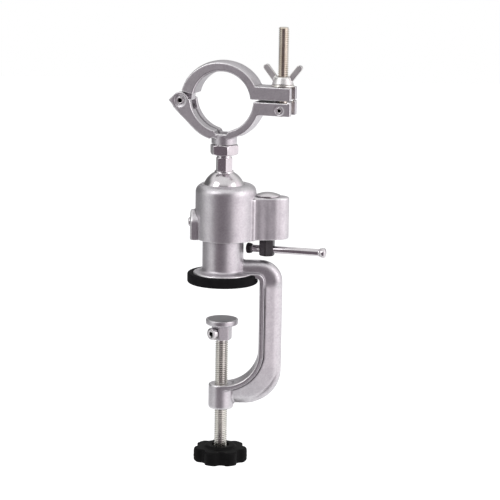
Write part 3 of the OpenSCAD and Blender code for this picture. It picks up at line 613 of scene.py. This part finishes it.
def shape_frame(place, wear_and_shade):
    """Flange crowned, rib drafted to its round nose, painted shade in its crease and under the
    cap, boss a little longer.
    """
    x, y, z = place.T
    out = np.hypot(np.maximum(x - BEND_AT[0], 0), np.maximum(BEND_AT[1] - z, 0)) - BEND_R
    crease, draft_start, draft_length = 0.4, 1.3, 10.1
    rib = step(out, -0.8, crease) * on_bow(x, y, z)
    width = RIB_ROOT_SHARE - RIB_DRAFT_SHARE * np.clip(out - draft_start, 0, draft_length)
    y *= 1 + (width - 1) * rib
    # Painted shade along the crease where the rib meets the flange
    wear_and_shade -= CREASE_PAINTED_SHADE * (1 - step(np.abs(out - crease), 0.3, 0.9)) * rib
    flange = (out < crease) * (np.abs(y) > 4.5) * on_bow(x, y, z)
    fall = np.clip(((out + FLANGE_HALF) / FLANGE_HALF) ** 2, 0, 1.1)
    y *= 1 - FLANGE_CROWN_SHARE * fall * flange
    under_cap, boss_low = (25.0, 28.5), -76.0
    # Painted shadow on the post's top under the cap
    wear_and_shade -= UNDER_CAP_PAINTED_SHADOW * step(z, *under_cap) * (np.hypot(x, y) < POST_R)
    z -= BOSS_DROP * slope(boss_low - z, 4)


def shape_cap(place, wear_and_shade):
    """Skin a little off the post's axis, skirt longer, lug tapered and a little lower."""
    x, y, z = place.T
    lug_length, lug_middle, skirt_top, lug_shoulder = 13.6, 28.0, 36.5, 46.0
    taper = LUG_TAPER_SHARE * np.clip((x - LUG_ROOT) / lug_length, 0, 1.2)
    y *= 1 + LUG_ROOT_SHARE * step(x, 15.5, LUG_ROOT) - taper
    x -= LUG_HOLLOW * np.sin(math.pi * slope(x - lug_middle, 12.8))
    x += SKIN_SHIFT * step(np.hypot(x, y), 14.0, 16.0) * (1 - step(x, 20.5, 27.0))
    z -= SKIRT_DROP * slope(skirt_top - z, 5.5)
    z -= LUG_DROP * slope(z - lug_shoulder, 6) * step(x, LUG_ROOT, 21.5)


def shape_lock_head(place, wear_and_shade):
    """Lengthens the head above and under the bar's hole."""
    z = place[:, 2]
    low, top = 19.8, 28.0
    z -= HEAD_LOW_DROP * slope(low - z, 0.3) + HEAD_TOP_DROP * slope(top - z, 2.5)


def shape_foot(place, wear_and_shade):
    """Paints the foot's pressed face darker, a painted dark reflection, with its rim left bright.
    """
    x, y, z = place.T
    rim = (8.8, 9.6)
    # Painted dark reflection on the pressed face, inside the rim
    wear_and_shade -= FOOT_FACE_PAINTED_REFLECTION * (z > FOOT_TOP - FACE_SLACK) * (1 - step(np.hypot(x, y), *rim))


def shape_knob(place, wear_and_shade):
    """Rim a little deeper, with the mould's fine parting ridge round its side."""
    x, y, z = place.T
    rim_top, parting_z, side_r = -108.5, -112.0, 8
    z -= KNOB_RIM_DROP * slope(rim_top - z, 4)
    ridge = KNOB_RIDGE * (1 - step(np.abs(z - parting_z), 0.25, 0.6))
    r = np.hypot(x, y)
    share = 1 + ridge / np.maximum(r, 1) * (r > side_r)
    x *= share
    y *= share


# Parts, as vertices in millimetres and faces

def bridged(count, rows, loop=False):
    """Faces between rows of a count of points, a loop's last row joined to its first."""
    faces = []
    for row in range(rows if loop else rows - 1):
        here, above = row * count, (row + 1) % rows * count
        for i in range(count):
            j = (i + 1) % count
            faces.append((here + i, here + j, above + j, above + i))
    return faces


def lid(count, row):
    """A face over all points of a row."""
    return tuple(range(row * count, (row + 1) * count))


def prism(outline, low, high):
    """A straight prism over an outline of X and Y."""
    n = len(outline)
    verts = [(x, y, z) for z in (low, high) for x, y in outline]
    return verts, bridged(n, 2) + [lid(n, 0), lid(n, 1)]


def arch(half_width, rise, back, front):
    """A solid arch along X round the fulcrum screw, its front edge rolled over."""
    turns = [math.radians(7.5 * i) for i in range(25)]
    outline = [(math.cos(t) * half_width, math.sin(t) * rise) for t in turns]
    outline += [(-half_width, -8.5), (half_width, -8.5)]
    rows = ((back, 0.0), (front + 1.3, 0.0), (front + 0.5, 0.35), (front + 0.1, 0.9),
            (front, 1.3))
    verts = []
    for x, inset in rows:
        for y, z in outline:
            up = z - inset * (z / rise if z > 0 else 0)
            verts.append((x, y * (1 - inset / half_width), FULCRUM_Z + up))
    n = len(outline)
    return verts, bridged(n, len(rows)) + [lid(n, 0), lid(n, len(rows) - 1)]


def arc(centre, radius, start, end, steps):
    """Points of an arc in the plane of a profile, its angles in degrees from the outward axis."""
    turns = [math.radians(start + (end - start) * i / steps) for i in range(steps + 1)]
    return [(centre[0] + radius * math.cos(t), centre[1] + radius * math.sin(t)) for t in turns]


def spread(first, last, count):
    """Evenly spaced points of a profile between two, without the last."""
    return [tuple(a + (b - a) * i / count for a, b in zip(first, last)) for i in range(count)]


def turned(profile, turn=0.0, loop=False):
    """Rows of (radius, height) turned about Z; a third number holds a row in a hexagon.

    A loop's last row joins its first, as on a ring, and otherwise both ends are closed.
    """
    angles = ROUND_ANGLES
    if any(len(row) > 2 for row in profile):
        angles = [60 * side + offset for side in range(6) for offset in HEXAGON_OFFSETS]
    verts = []
    for row in profile:
        for angle in angles:
            r = row[0]
            if len(row) > 2:
                side = row[2] / 2 / math.cos(math.radians(angle % 60 - 30))
                bend = math.exp(-abs(side - r) / HEXAGON_SOFTNESS)
                r = min(side, r) - HEXAGON_SOFTNESS * math.log1p(bend)
            heading = math.radians(angle + turn)
            verts.append((r * math.cos(heading), r * math.sin(heading), row[1]))
    n, rows = len(angles), len(profile)
    faces = bridged(n, rows, loop)
    if not loop:
        faces += [lid(n, row) for row in (0, rows - 1) if profile[row][0] > 0]
    return verts, faces


def placed(part, matrix):
    """A (vertices, faces) part moved by a matrix, in millimetres."""
    verts, faces = part
    return [tuple(matrix @ Vector(v)) for v in verts], faces


def towards(direction, at):
    """A matrix that lays a part's Z axis level in a direction, in degrees, from a place."""
    return (Matrix.Translation(at) @ Matrix.Rotation(math.radians(direction), 4, "Z")
            @ Matrix.Rotation(math.radians(90), 4, "Y"))


def in_ring(x, z):
    """A place of the ring's middle plane, given along its arms and up, in millimetres."""
    return Vector((x * RING_COS, x * RING_SIN, z))


def on_bolt(part):
    """A part moved from the Z axis to the eye bolt's."""
    return placed(part, Matrix.Translation(in_ring(BOLT_X, 0)))


def thread(low, high, radius, depth):
    """A screw thread between two heights: crest, flank, root and flank in each turn."""
    shares = ((0.0, 0.0), (0.25, 0.0), (0.50, 1.0), (0.75, 1.0))
    columns = THREAD_COLUMNS
    turns = int((high - low) / THREAD_PITCH) + 3
    rows = turns * len(shares) + 1
    verts, faces = [], []
    for row in range(rows):
        turn_no, k = divmod(row, len(shares))
        for column in range(columns):
            height = low + THREAD_PITCH * (turn_no - 1.5 + shares[k][0] + column / columns)
            angle = 2 * math.pi * column / columns
            inset = max(depth * shares[k][1], depth - (height - low), depth - (high - height))
            r = radius - min(inset, depth)
            height = min(max(height, low), high)
            verts.append((r * math.cos(angle), r * math.sin(angle), height))
    ahead = len(shares) * columns
    for row in range(rows - 1):
        for column in range(columns):
            here = row * columns + column
            up = here + columns
            if column + 1 < columns:
                faces.append((here, here + 1, up + 1, up))
            elif row + len(shares) + 1 < rows:
                faces.append((here, row * columns + ahead, (row + 1) * columns + ahead, up))
    core = radius - depth
    for height in (low, high):
        start = len(verts)
        for column in range(columns):
            angle = 2 * math.pi * column / columns
            verts.append((core * math.cos(angle), core * math.sin(angle), height))
        faces.append(tuple(range(start, start + columns)))
    return verts, faces


# Pieces

def make_castings():
    """The castings, rubber boot, knob and lock screw, rounded from the CAD."""
    softened("cast_frame", "c_frame", voxel=0.42, passes=7, uneven=0.08, reshape=shape_frame)
    cheeks = [prism([(13.0, side * 8.0), (15.6, side * 10.7), (18.2, side * 8.8),
                     (18.2, side * 7.0)], 29.5, 54.0) for side in (-1, 1)]
    softened("cast_cap", "clamp_cap", voxel=0.38, passes=7, uneven=0.08, reshape=shape_cap,
             extra=[arch(9.3, 7.4, -13.0, ARCH_FRONT), *cheeks])
    for name, node, reshape in (("cast_lower_jaw", "lower_jaw", shape_lower_jaw),
                                ("cast_upper_jaw", "upper_jaw", shape_upper_jaw)):
        softened(name, node, voxel=0.34, passes=6, uneven=0.06, reshape=reshape)
    softened("rubber_boot", "rubber_pad", voxel=0.40, passes=5, uneven=0.05)
    softened("star_knob", "hand_knob", voxel=0.36, passes=8, reshape=shape_knob)
    softened("lock_bolt", "lock_screw", voxel=0.17, passes=5, reshape=shape_lock_head)


def make_foot():
    """Swivelling foot: a disc with a rolled rim, filleted into a hexagonal hub."""
    top, low = FOOT_TOP, FOOT_BOTTOM
    disc = turned([(0, top), *spread((0.1, top), (9.4, top), 4)]
                  + arc((9.4, top - 0.8), 0.8, 90, 0, 6)
                  + [(10.2, top - 2.2)] + arc((9.0, top - 2.6), 1.2, 0, -75, 6)
                  + [(7.4, top - 4.1), (0, top - 4.2)])
    hole, width, shoulder_width = 3.05, 11.4, 12.6
    hub = turned([(hole, low), (6.0, low, width), (6.6, low + 0.4, width),
                  (6.6, top - 4.4, width), (7.4, top - 3.8, shoulder_width),
                  (7.4, top - 3.0, shoulder_width), (hole, top - 3.0)],
                 SET_SCREW_DIRECTION + 30, loop=True)
    softened("cast_foot", "clamp_foot", voxel=0.22, passes=4, uneven=0.03,
             reshape=shape_foot, extra=[disc, hub], alone=True)


def make_wing_nut():
    """Wing nut with a rolled flange under its body, fused from the CAD's outline."""
    bore, low = 3.1, GRIP_Z + WING_BOTTOM
    flange = turned([(bore, low), (6.2, low), *arc((6.1, low + 0.5), 0.5, -60, 90, 6),
                     (5.3, low + 1.3), (5.15, low + 1.9), (5.6, low + 2.7), (5.6, low + 3.3),
                     (5.0, low + 4.4), (bore, low + 4.5)], loop=True)
    softened("winged_nut", "wing_nut", voxel=0.2, passes=9, uneven=0.03,
             extra=[on_bolt(flange)])


def make_ball_stud():
    """Bright ball with a collar, a hexagonal shank that ends round, and its stud."""
    z, top = BALL_Z, SHANK_TOP
    neck_r, width, corner, stud_r = 6.1, 9.4, 5.5, 3.95
    start = math.degrees(math.acos(neck_r / BALL_R))
    ball = turned(arc((0, z), BALL_R, -90, start, 48)
                  + [(5.98, z + 12.0), (5.9, z + 12.25), (5.9, z + 12.6), (5.7, z + 12.8),
                     (4.5, z + 12.85), (0, z + 12.85)])
    shank = turned([(corner, z + 10, width), (corner, z + 13, width), (corner, top - 2.6, width)]
                   + spread((corner, top - 2.4, width), (4.7, top - 1.7, width), 5)
                   + [(4.6, top - 1.6), (4.6, top - 0.2), (4.45, top), (stud_r, top),
                      (stud_r, top + 12.2), (3.5, top + 12.65), (0, top + 12.65)],
                   RING_DIRECTION)
    made("ball_and_stud", "ball_stud", [ball, shank])


def make_jam_nut():
    """Hexagon nut with both faces chamfered to a circle."""
    low, high = SHANK_TOP + 0.1, SHANK_TOP + 6.4
    width, bore, face_r, corner, chamfer = 16.0, 4.05, 8.0, 9.3, 0.8
    low_edge, high_edge = (corner, low + chamfer, width), (corner, high - chamfer, width)
    nut = turned([(bore, low)] + spread((face_r, low, width), low_edge, 5)
                 + spread(low_edge, high_edge, 2) + spread(high_edge, (face_r, high, width), 5)
                 + [(7.9, high), (bore, high)], RING_DIRECTION, loop=True)
    made("hexagon_nut", "jam_nut", [nut])


def make_lock_dome():
    """Domed head on the lug, with its threaded sleeve inside."""
    low = LUG_TOP
    bore, sleeve_r, sleeve_low, dome_r = 3.1, 4.4, low - 14, 17.4
    dome = turned([(0, low - 4), (bore, low - 4), (bore, sleeve_low), (sleeve_r, sleeve_low),
                   (sleeve_r, low + 0.1), (7.25, low + 0.1), (7.5, low + 0.3),
                   (7.5, low + 0.85), (7.35, low + 1.05)]
                  + arc((0, low + 2.6 - dome_r), dome_r, 65.2, 90, 12))
    made("lock_dome", "lock_dome_nut", [placed(dome, Matrix.Translation((LOCK_X, 0, 0)))])


def make_tommy_bar():
    """Sliding bar, grooved behind its bright flared end and its dark end."""
    r, groove_r, end_r = BAR_R, 2.2, 1.9
    bar = turned([(0, -12.7), (end_r, -12.7), (r, -12.3), (r, -9.2), (groove_r, -9.0), (r, -8.8),
                  (r, 33.0), (groove_r, 33.2), (r, 33.4), (r, 37.1), (end_r, 37.5), (0, 37.5)])
    cap = turned([(0, 3.6), (2.32, 3.6), (2.32, 0), (2.55, 0), (2.65, 0.1), (2.95, 1.1),
                  (3.1, 1.6), (3.1, 2.6)] + arc((2.2, 2.7), 0.9, 10, 70, 4)
                 + arc((0, -0.2), 4.4, 62, 90, 6))
    at = Vector((LOCK_X, 0, BAR_Z))
    outwards, inwards = towards(BAR_DIRECTION, at), towards(BAR_DIRECTION + 180, at)
    inner_swell = Matrix.Diagonal((1.08, 1.08, 1.0, 1.0))
    outer = outwards @ Matrix.Translation((0, 0, 33.9))
    inner = inwards @ Matrix.Translation((0, 0, 9.4)) @ inner_swell
    made("sliding_bar", "tommy_bar", [placed(bar, outwards)])
    made("bar_end_bright", "bar_cap_outer", [placed(cap, outer)])
    made("bar_end_dark", "bar_cap_inner", [placed(cap, inner)])


def pin_end(radius, hollow, end, flare):
    """Profile of a tube end rolled half round, from its hollow out to the pin's side."""
    roll = (radius + flare - hollow) / 2
    return ([(0, end - 1.5), (hollow - 0.1, end - 1.5), (hollow, end - 1.2)]
            + arc((hollow + roll, end - roll), roll, 180, 0, 12) + [(radius, end - 1.3)])


def make_pins():
    """Hinge pin and eye pin, each with rolled hollow ends."""
    for name, node, (x, z), radius, hollow, flare in (
            ("rolled_hinge_pin", "hinge_pin", HINGE_AT, 2.5, 1.15, 0.0),
            ("rolled_eye_pin", "eye_pin", EYE_AT, 2.0, 0.95, 0.35)):
        end = pin_end(radius, hollow, JAW_HALF - 0.3, flare)
        pin = turned(end + [(r, -h) for r, h in reversed(end)])
        place = towards(RING_DIRECTION - 90, in_ring(x, GRIP_Z + z))
        # Painted shade at the bottom of each pin end's hollow
        bottoms = [(place @ Vector((0, 0, side * (JAW_HALF - 1.8))), hollow + 0.75)
                   for side in (-1, 1)]
        made(name, node, [placed(pin, place)], hollows=bottoms)


def make_fulcrum_screw():
    """Low round head in the arched boss, with a hexagon socket."""
    socket, bottom, shank_r = 2.5, 0.45, 2.0
    button = turned([(0, bottom), (1.5, bottom, socket), (1.5, 1.05, socket), (1.6, 1.2),
                     (2.0, 1.18), (2.5, 0.95), (2.75, 0.6), (2.8, 0.2), (2.75, 0.0),
                     (shank_r, 0.0), (shank_r, -14.1), (0, -14.1)])
    x = ARCH_FRONT + SKIN_SHIFT
    # Painted shade at the bottom of the hexagon socket
    made("button_screw", "fulcrum_screw",
         [placed(button, towards(180, Vector((x, 0, FULCRUM_Z))))],
         hollows=[(Vector((x - bottom, 0, FULCRUM_Z)), 1.55)])


def make_set_screw():
    """Round head in the side of the foot's hub, with a hexagon socket."""
    socket, start, shank_r, tip_r = 3.0, 6.5, 2.0, 1.2
    bottom = start + 1.3
    head = turned([(0, bottom), (1.8, bottom, socket), (1.8, start + 2.55, socket),
                   (2.0, start + 2.75), (2.5, start + 2.88), (3.1, start + 2.85),
                   (3.6, start + 2.6), (3.85, start + 2.1), (3.9, start + 1.6),
                   (3.9, start + 0.3), (3.7, start + 0.05), (shank_r, start),
                   (shank_r, start - 2.4), (tip_r, start - 2.6), (tip_r, start - 3.3),
                   (0, start - 3.3)])
    place = towards(SET_SCREW_DIRECTION, Vector((0, 0, SET_SCREW_Z)))
    # Painted shade at the bottom of the hexagon socket
    made("socket_screw", "foot_set_screw", [placed(head, place)],
         hollows=[(place @ Vector((0, 0, bottom)), 1.85)])


def make_washer():
    """Washer under the wing nut, its edges rolled over."""
    low = GRIP_Z + WING_BOTTOM - 1.3
    high, bore, rim = low + 1.2, 3.3, 7.0
    washer = turned([(bore, low), (6.7, low), (6.95, low + 0.2), (rim, low + 0.5),
                     (rim, low + 0.8), (6.85, low + 1.1), (6.6, high), (bore, high)], loop=True)
    made("flat_washer", "wing_washer", [on_bolt(washer)])


def make_eye_bolt():
    """Threaded bolt that grows out of a forged eye."""
    x, z = EYE_AT
    base = GRIP_Z + z
    hole, rim, half, shank_r = 2.05, 4.3, 3.2, 2.75
    eye = turned([(hole, -half), (3.7, -half), (4.1, -3.05), (rim, -2.6), (rim, 2.6),
                  (4.1, 3.05), (3.7, half), (hole, half)], loop=True)
    shank = turned([(0, base + 2.6), (shank_r, base + 2.6), (shank_r, base + 8.2),
                    (2.3, base + 8.6), (0, base + 8.6)])
    screw = thread(base + 8.0, BOLT_TOP, BOLT_THREAD_R, BOLT_THREAD_DEPTH)
    # Painted shade in the thread's grooves
    made("threaded_eye_bolt", "eye_bolt",
         [placed(eye, towards(RING_DIRECTION - 90, in_ring(x, base))), on_bolt(shank),
          on_bolt(screw)], THREAD_ANGLE,
         grooves=(in_ring(BOLT_X, 0), BOLT_THREAD_R - 0.45, base + 8.8, BOLT_TOP - 0.8))


def make_clamp_screw():
    """Long threaded screw with a shoulder and a grooved tip for the foot."""
    low, high, top = CLAMP_SCREW_LOW, FOOT_BOTTOM - 0.1, -25.6
    shoulder_r, tip_r, groove_r = 3.3, 3.0, 2.2
    screw = thread(low, high - 0.8, CLAMP_THREAD_R, CLAMP_THREAD_DEPTH)
    tip = turned([(0, high - 1.6), (shoulder_r, high - 1.6), (shoulder_r, high - 0.2),
                  (3.1, high), (tip_r, high + 0.1), (tip_r, -33.75), (groove_r, -33.55),
                  (groove_r, -30.75), (tip_r, -30.55), (tip_r, -26.0), (2.6, top), (0, top)])
    # Painted shade in the thread's grooves
    made("threaded_spindle", "clamp_screw", [screw, tip], THREAD_ANGLE,
         grooves=(Vector((0, 0, 0)), CLAMP_THREAD_R - 0.43, low, high - 1.7))


def dress_nodes():
    """Gives every CAD node the material of its slot."""
    for name, obj in NODES.items():
        obj.data.materials.clear()
        obj.data.materials.append(MATERIALS[SLOT_OF[name]])
        shade(obj.data, SHARP_ANGLE)


# Stage

def make_camera():
    """The photograph's camera, which looks slightly down on the post's axis."""
    azimuth = math.radians(CAMERA_AZIMUTH)
    heading = math.radians(CAMERA_AZIMUTH + CAMERA_YAW)
    pitch, roll = math.radians(CAMERA_PITCH), math.radians(CAMERA_ROLL)
    forward = Vector((-math.sin(heading) * math.cos(pitch), math.cos(heading) * math.cos(pitch),
                      -math.sin(pitch)))
    right = Vector((math.cos(heading), math.sin(heading), 0))
    up = right.cross(forward)
    turned_right = math.cos(roll) * right + math.sin(roll) * up
    turned_up = math.cos(roll) * up - math.sin(roll) * right
    place = Matrix.Translation((math.sin(azimuth) * CAMERA_DISTANCE,
                                -math.cos(azimuth) * CAMERA_DISTANCE, CAMERA_HEIGHT))
    data = bpy.data.cameras.new("camera")
    data.lens = CAMERA_LENS
    data.sensor_width = SENSOR_WIDTH
    camera = add_object("camera", data)
    camera.matrix_world = place @ Matrix((turned_right, turned_up,
                                          -forward)).transposed().to_4x4()
    bpy.context.scene.camera = camera


def floor_material():
    """White paper that glows a little to the camera; to reflections it is painted darker to the
    left and glows a little, a painted reflection.
    """
    mat, tree, shader = new_material("floor")
    shader.inputs["Roughness"].default_value = 0.9
    shader.inputs["Specular IOR Level"].default_value = 0.1
    shader.inputs["Emission Color"].default_value = (1, 1, 1, 1)
    light = tree.nodes.new("ShaderNodeLightPath")
    axes = tree.nodes.new("ShaderNodeSeparateXYZ")
    tree.links.new(tree.nodes.new("ShaderNodeTexCoord").outputs["Object"], axes.inputs[0])
    side = ramp(tree, math_node(tree, "SUBTRACT", axes.outputs["X"], FLOOR_PALE_FROM),
                [(0.1, 0.3), (0.5, 0.85), (0.7, 1.0)])
    paper = ramp(tree, noise(tree, 30, 3.0, 0.5), [(0.3, 0.84), (0.7, 0.86)])
    shaded = mix(tree, light.outputs["Is Glossy Ray"], (1, 1, 1), side)
    tree.links.new(mix(tree, 1.0, paper, shaded, "MULTIPLY"), shader.inputs["Base Color"])
    glow = math_node(tree, "MULTIPLY", light.outputs["Is Camera Ray"], 0.5)
    # Painted reflection: a glow that only reflections see, fading towards the left
    reflected_glow = math_node(tree, "MULTIPLY", light.outputs["Is Glossy Ray"], 0.3)
    reflected_glow = math_node(tree, "MULTIPLY", reflected_glow, side)
    tree.links.new(math_node(tree, "ADD", glow, reflected_glow), shader.inputs["Emission Strength"])
    return mat


def make_floor():
    """A white table top, below the knob's lowest place, that keeps the object's shadow."""
    travel = next(joint["range_m"][0] for joint in frame["record"]["behaviour"]["joints"]
                  if joint["name"] == "foot_lift")
    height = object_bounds()[0].z + travel
    corners = ((-FLOOR_SIDE, FLOOR_FRONT), (FLOOR_SIDE, FLOOR_FRONT),
               (FLOOR_SIDE, FLOOR_BACK), (-FLOOR_SIDE, FLOOR_BACK))
    mesh = bpy.data.meshes.new("floor")
    mesh.from_pydata([(x, y, height) for x, y in corners], [], [(0, 1, 2, 3)])
    mesh.materials.append(floor_material())
    floor = add_object("floor", mesh)


def add_lamp(name, place, target, size, power):
    """A soft box that faces a target."""
    data = bpy.data.lights.new(name, "AREA")
    data.shape = "RECTANGLE"
    data.size, data.size_y = size
    data.energy = power
    lamp = add_object(name, data)
    lamp.location = place
    lamp.rotation_mode = "QUATERNION"
    lamp.rotation_quaternion = (Vector(target) - Vector(place)).to_track_quat("-Z", "Y")


def make_world():
    """White to the camera; to metal a studio of pale panels with the dark room at the front."""
    world = bpy.data.worlds.new("studio")
    bpy.context.scene.world = world
    world.use_nodes = True
    tree = world.node_tree
    background = tree.nodes["Background"]
    coords = tree.nodes.new("ShaderNodeTexCoord")
    axes = tree.nodes.new("ShaderNodeSeparateXYZ")
    tree.links.new(coords.outputs["Generated"], axes.inputs[0])
    back = math_node(tree, "MULTIPLY", axes.outputs["Y"], -1.0)
    turn = math_node(tree, "ARCTAN2", axes.outputs["X"], back)
    share = math_node(tree, "ADD", math_node(tree, "DIVIDE", turn, 2 * math.pi), 0.5)
    # Shares of a turn from behind the object by its left, 0.25, and the camera, 0.5
    pale_panel = (1.15, 1.08, 1.12)
    around = ramp(tree, share, [
        (0.0, 0.45), (0.09, 0.14), (0.215, 0.16), (0.262, 0.85), (0.345, 0.90),
        (0.378, (0.17, 0.14, 0.165)), (0.42, (0.145, 0.115, 0.135)), (0.561, (0.18, 0.16, 0.18)),
        (0.592, pale_panel), (0.79, pale_panel), (0.86, 0.70), (0.92, 0.45), (1.0, 0.45)])
    above = ramp(tree, axes.outputs["Z"], [(0.0, 0.0), (0.45, 0.0), (0.7, 1.0)])
    studio = mix(tree, above, around, (0.9, 0.9, 0.9))
    light = tree.nodes.new("ShaderNodeLightPath")
    shiny = math_node(tree, "MAXIMUM", light.outputs["Is Glossy Ray"],
                      light.outputs["Is Transmission Ray"])
    seen = mix(tree, shiny, (0.72, 0.72, 0.73), studio)
    tree.links.new(mix(tree, light.outputs["Is Camera Ray"], seen, (1, 1, 1)),
                   background.inputs["Color"])


def make_lamps():
    """A key from the left and a broader fill from the right."""
    middle = (0, 0, 0.03)
    add_lamp("key", (-0.9, -0.75, 0.85), middle, (0.7, 0.7), 3.2)
    add_lamp("fill", (1.1, -0.5, 0.5), middle, (0.6, 1.0), 2.2)


make_castings()
make_foot()
make_wing_nut()
make_ball_stud()
make_jam_nut()
make_lock_dome()
make_tommy_bar()
make_pins()
make_fulcrum_screw()
make_set_screw()
make_washer()
make_eye_bolt()
make_clamp_screw()
dress_nodes()
make_camera()
make_floor()
make_world()
make_lamps()
bpy.context.scene.view_settings.view_transform = "Standard"
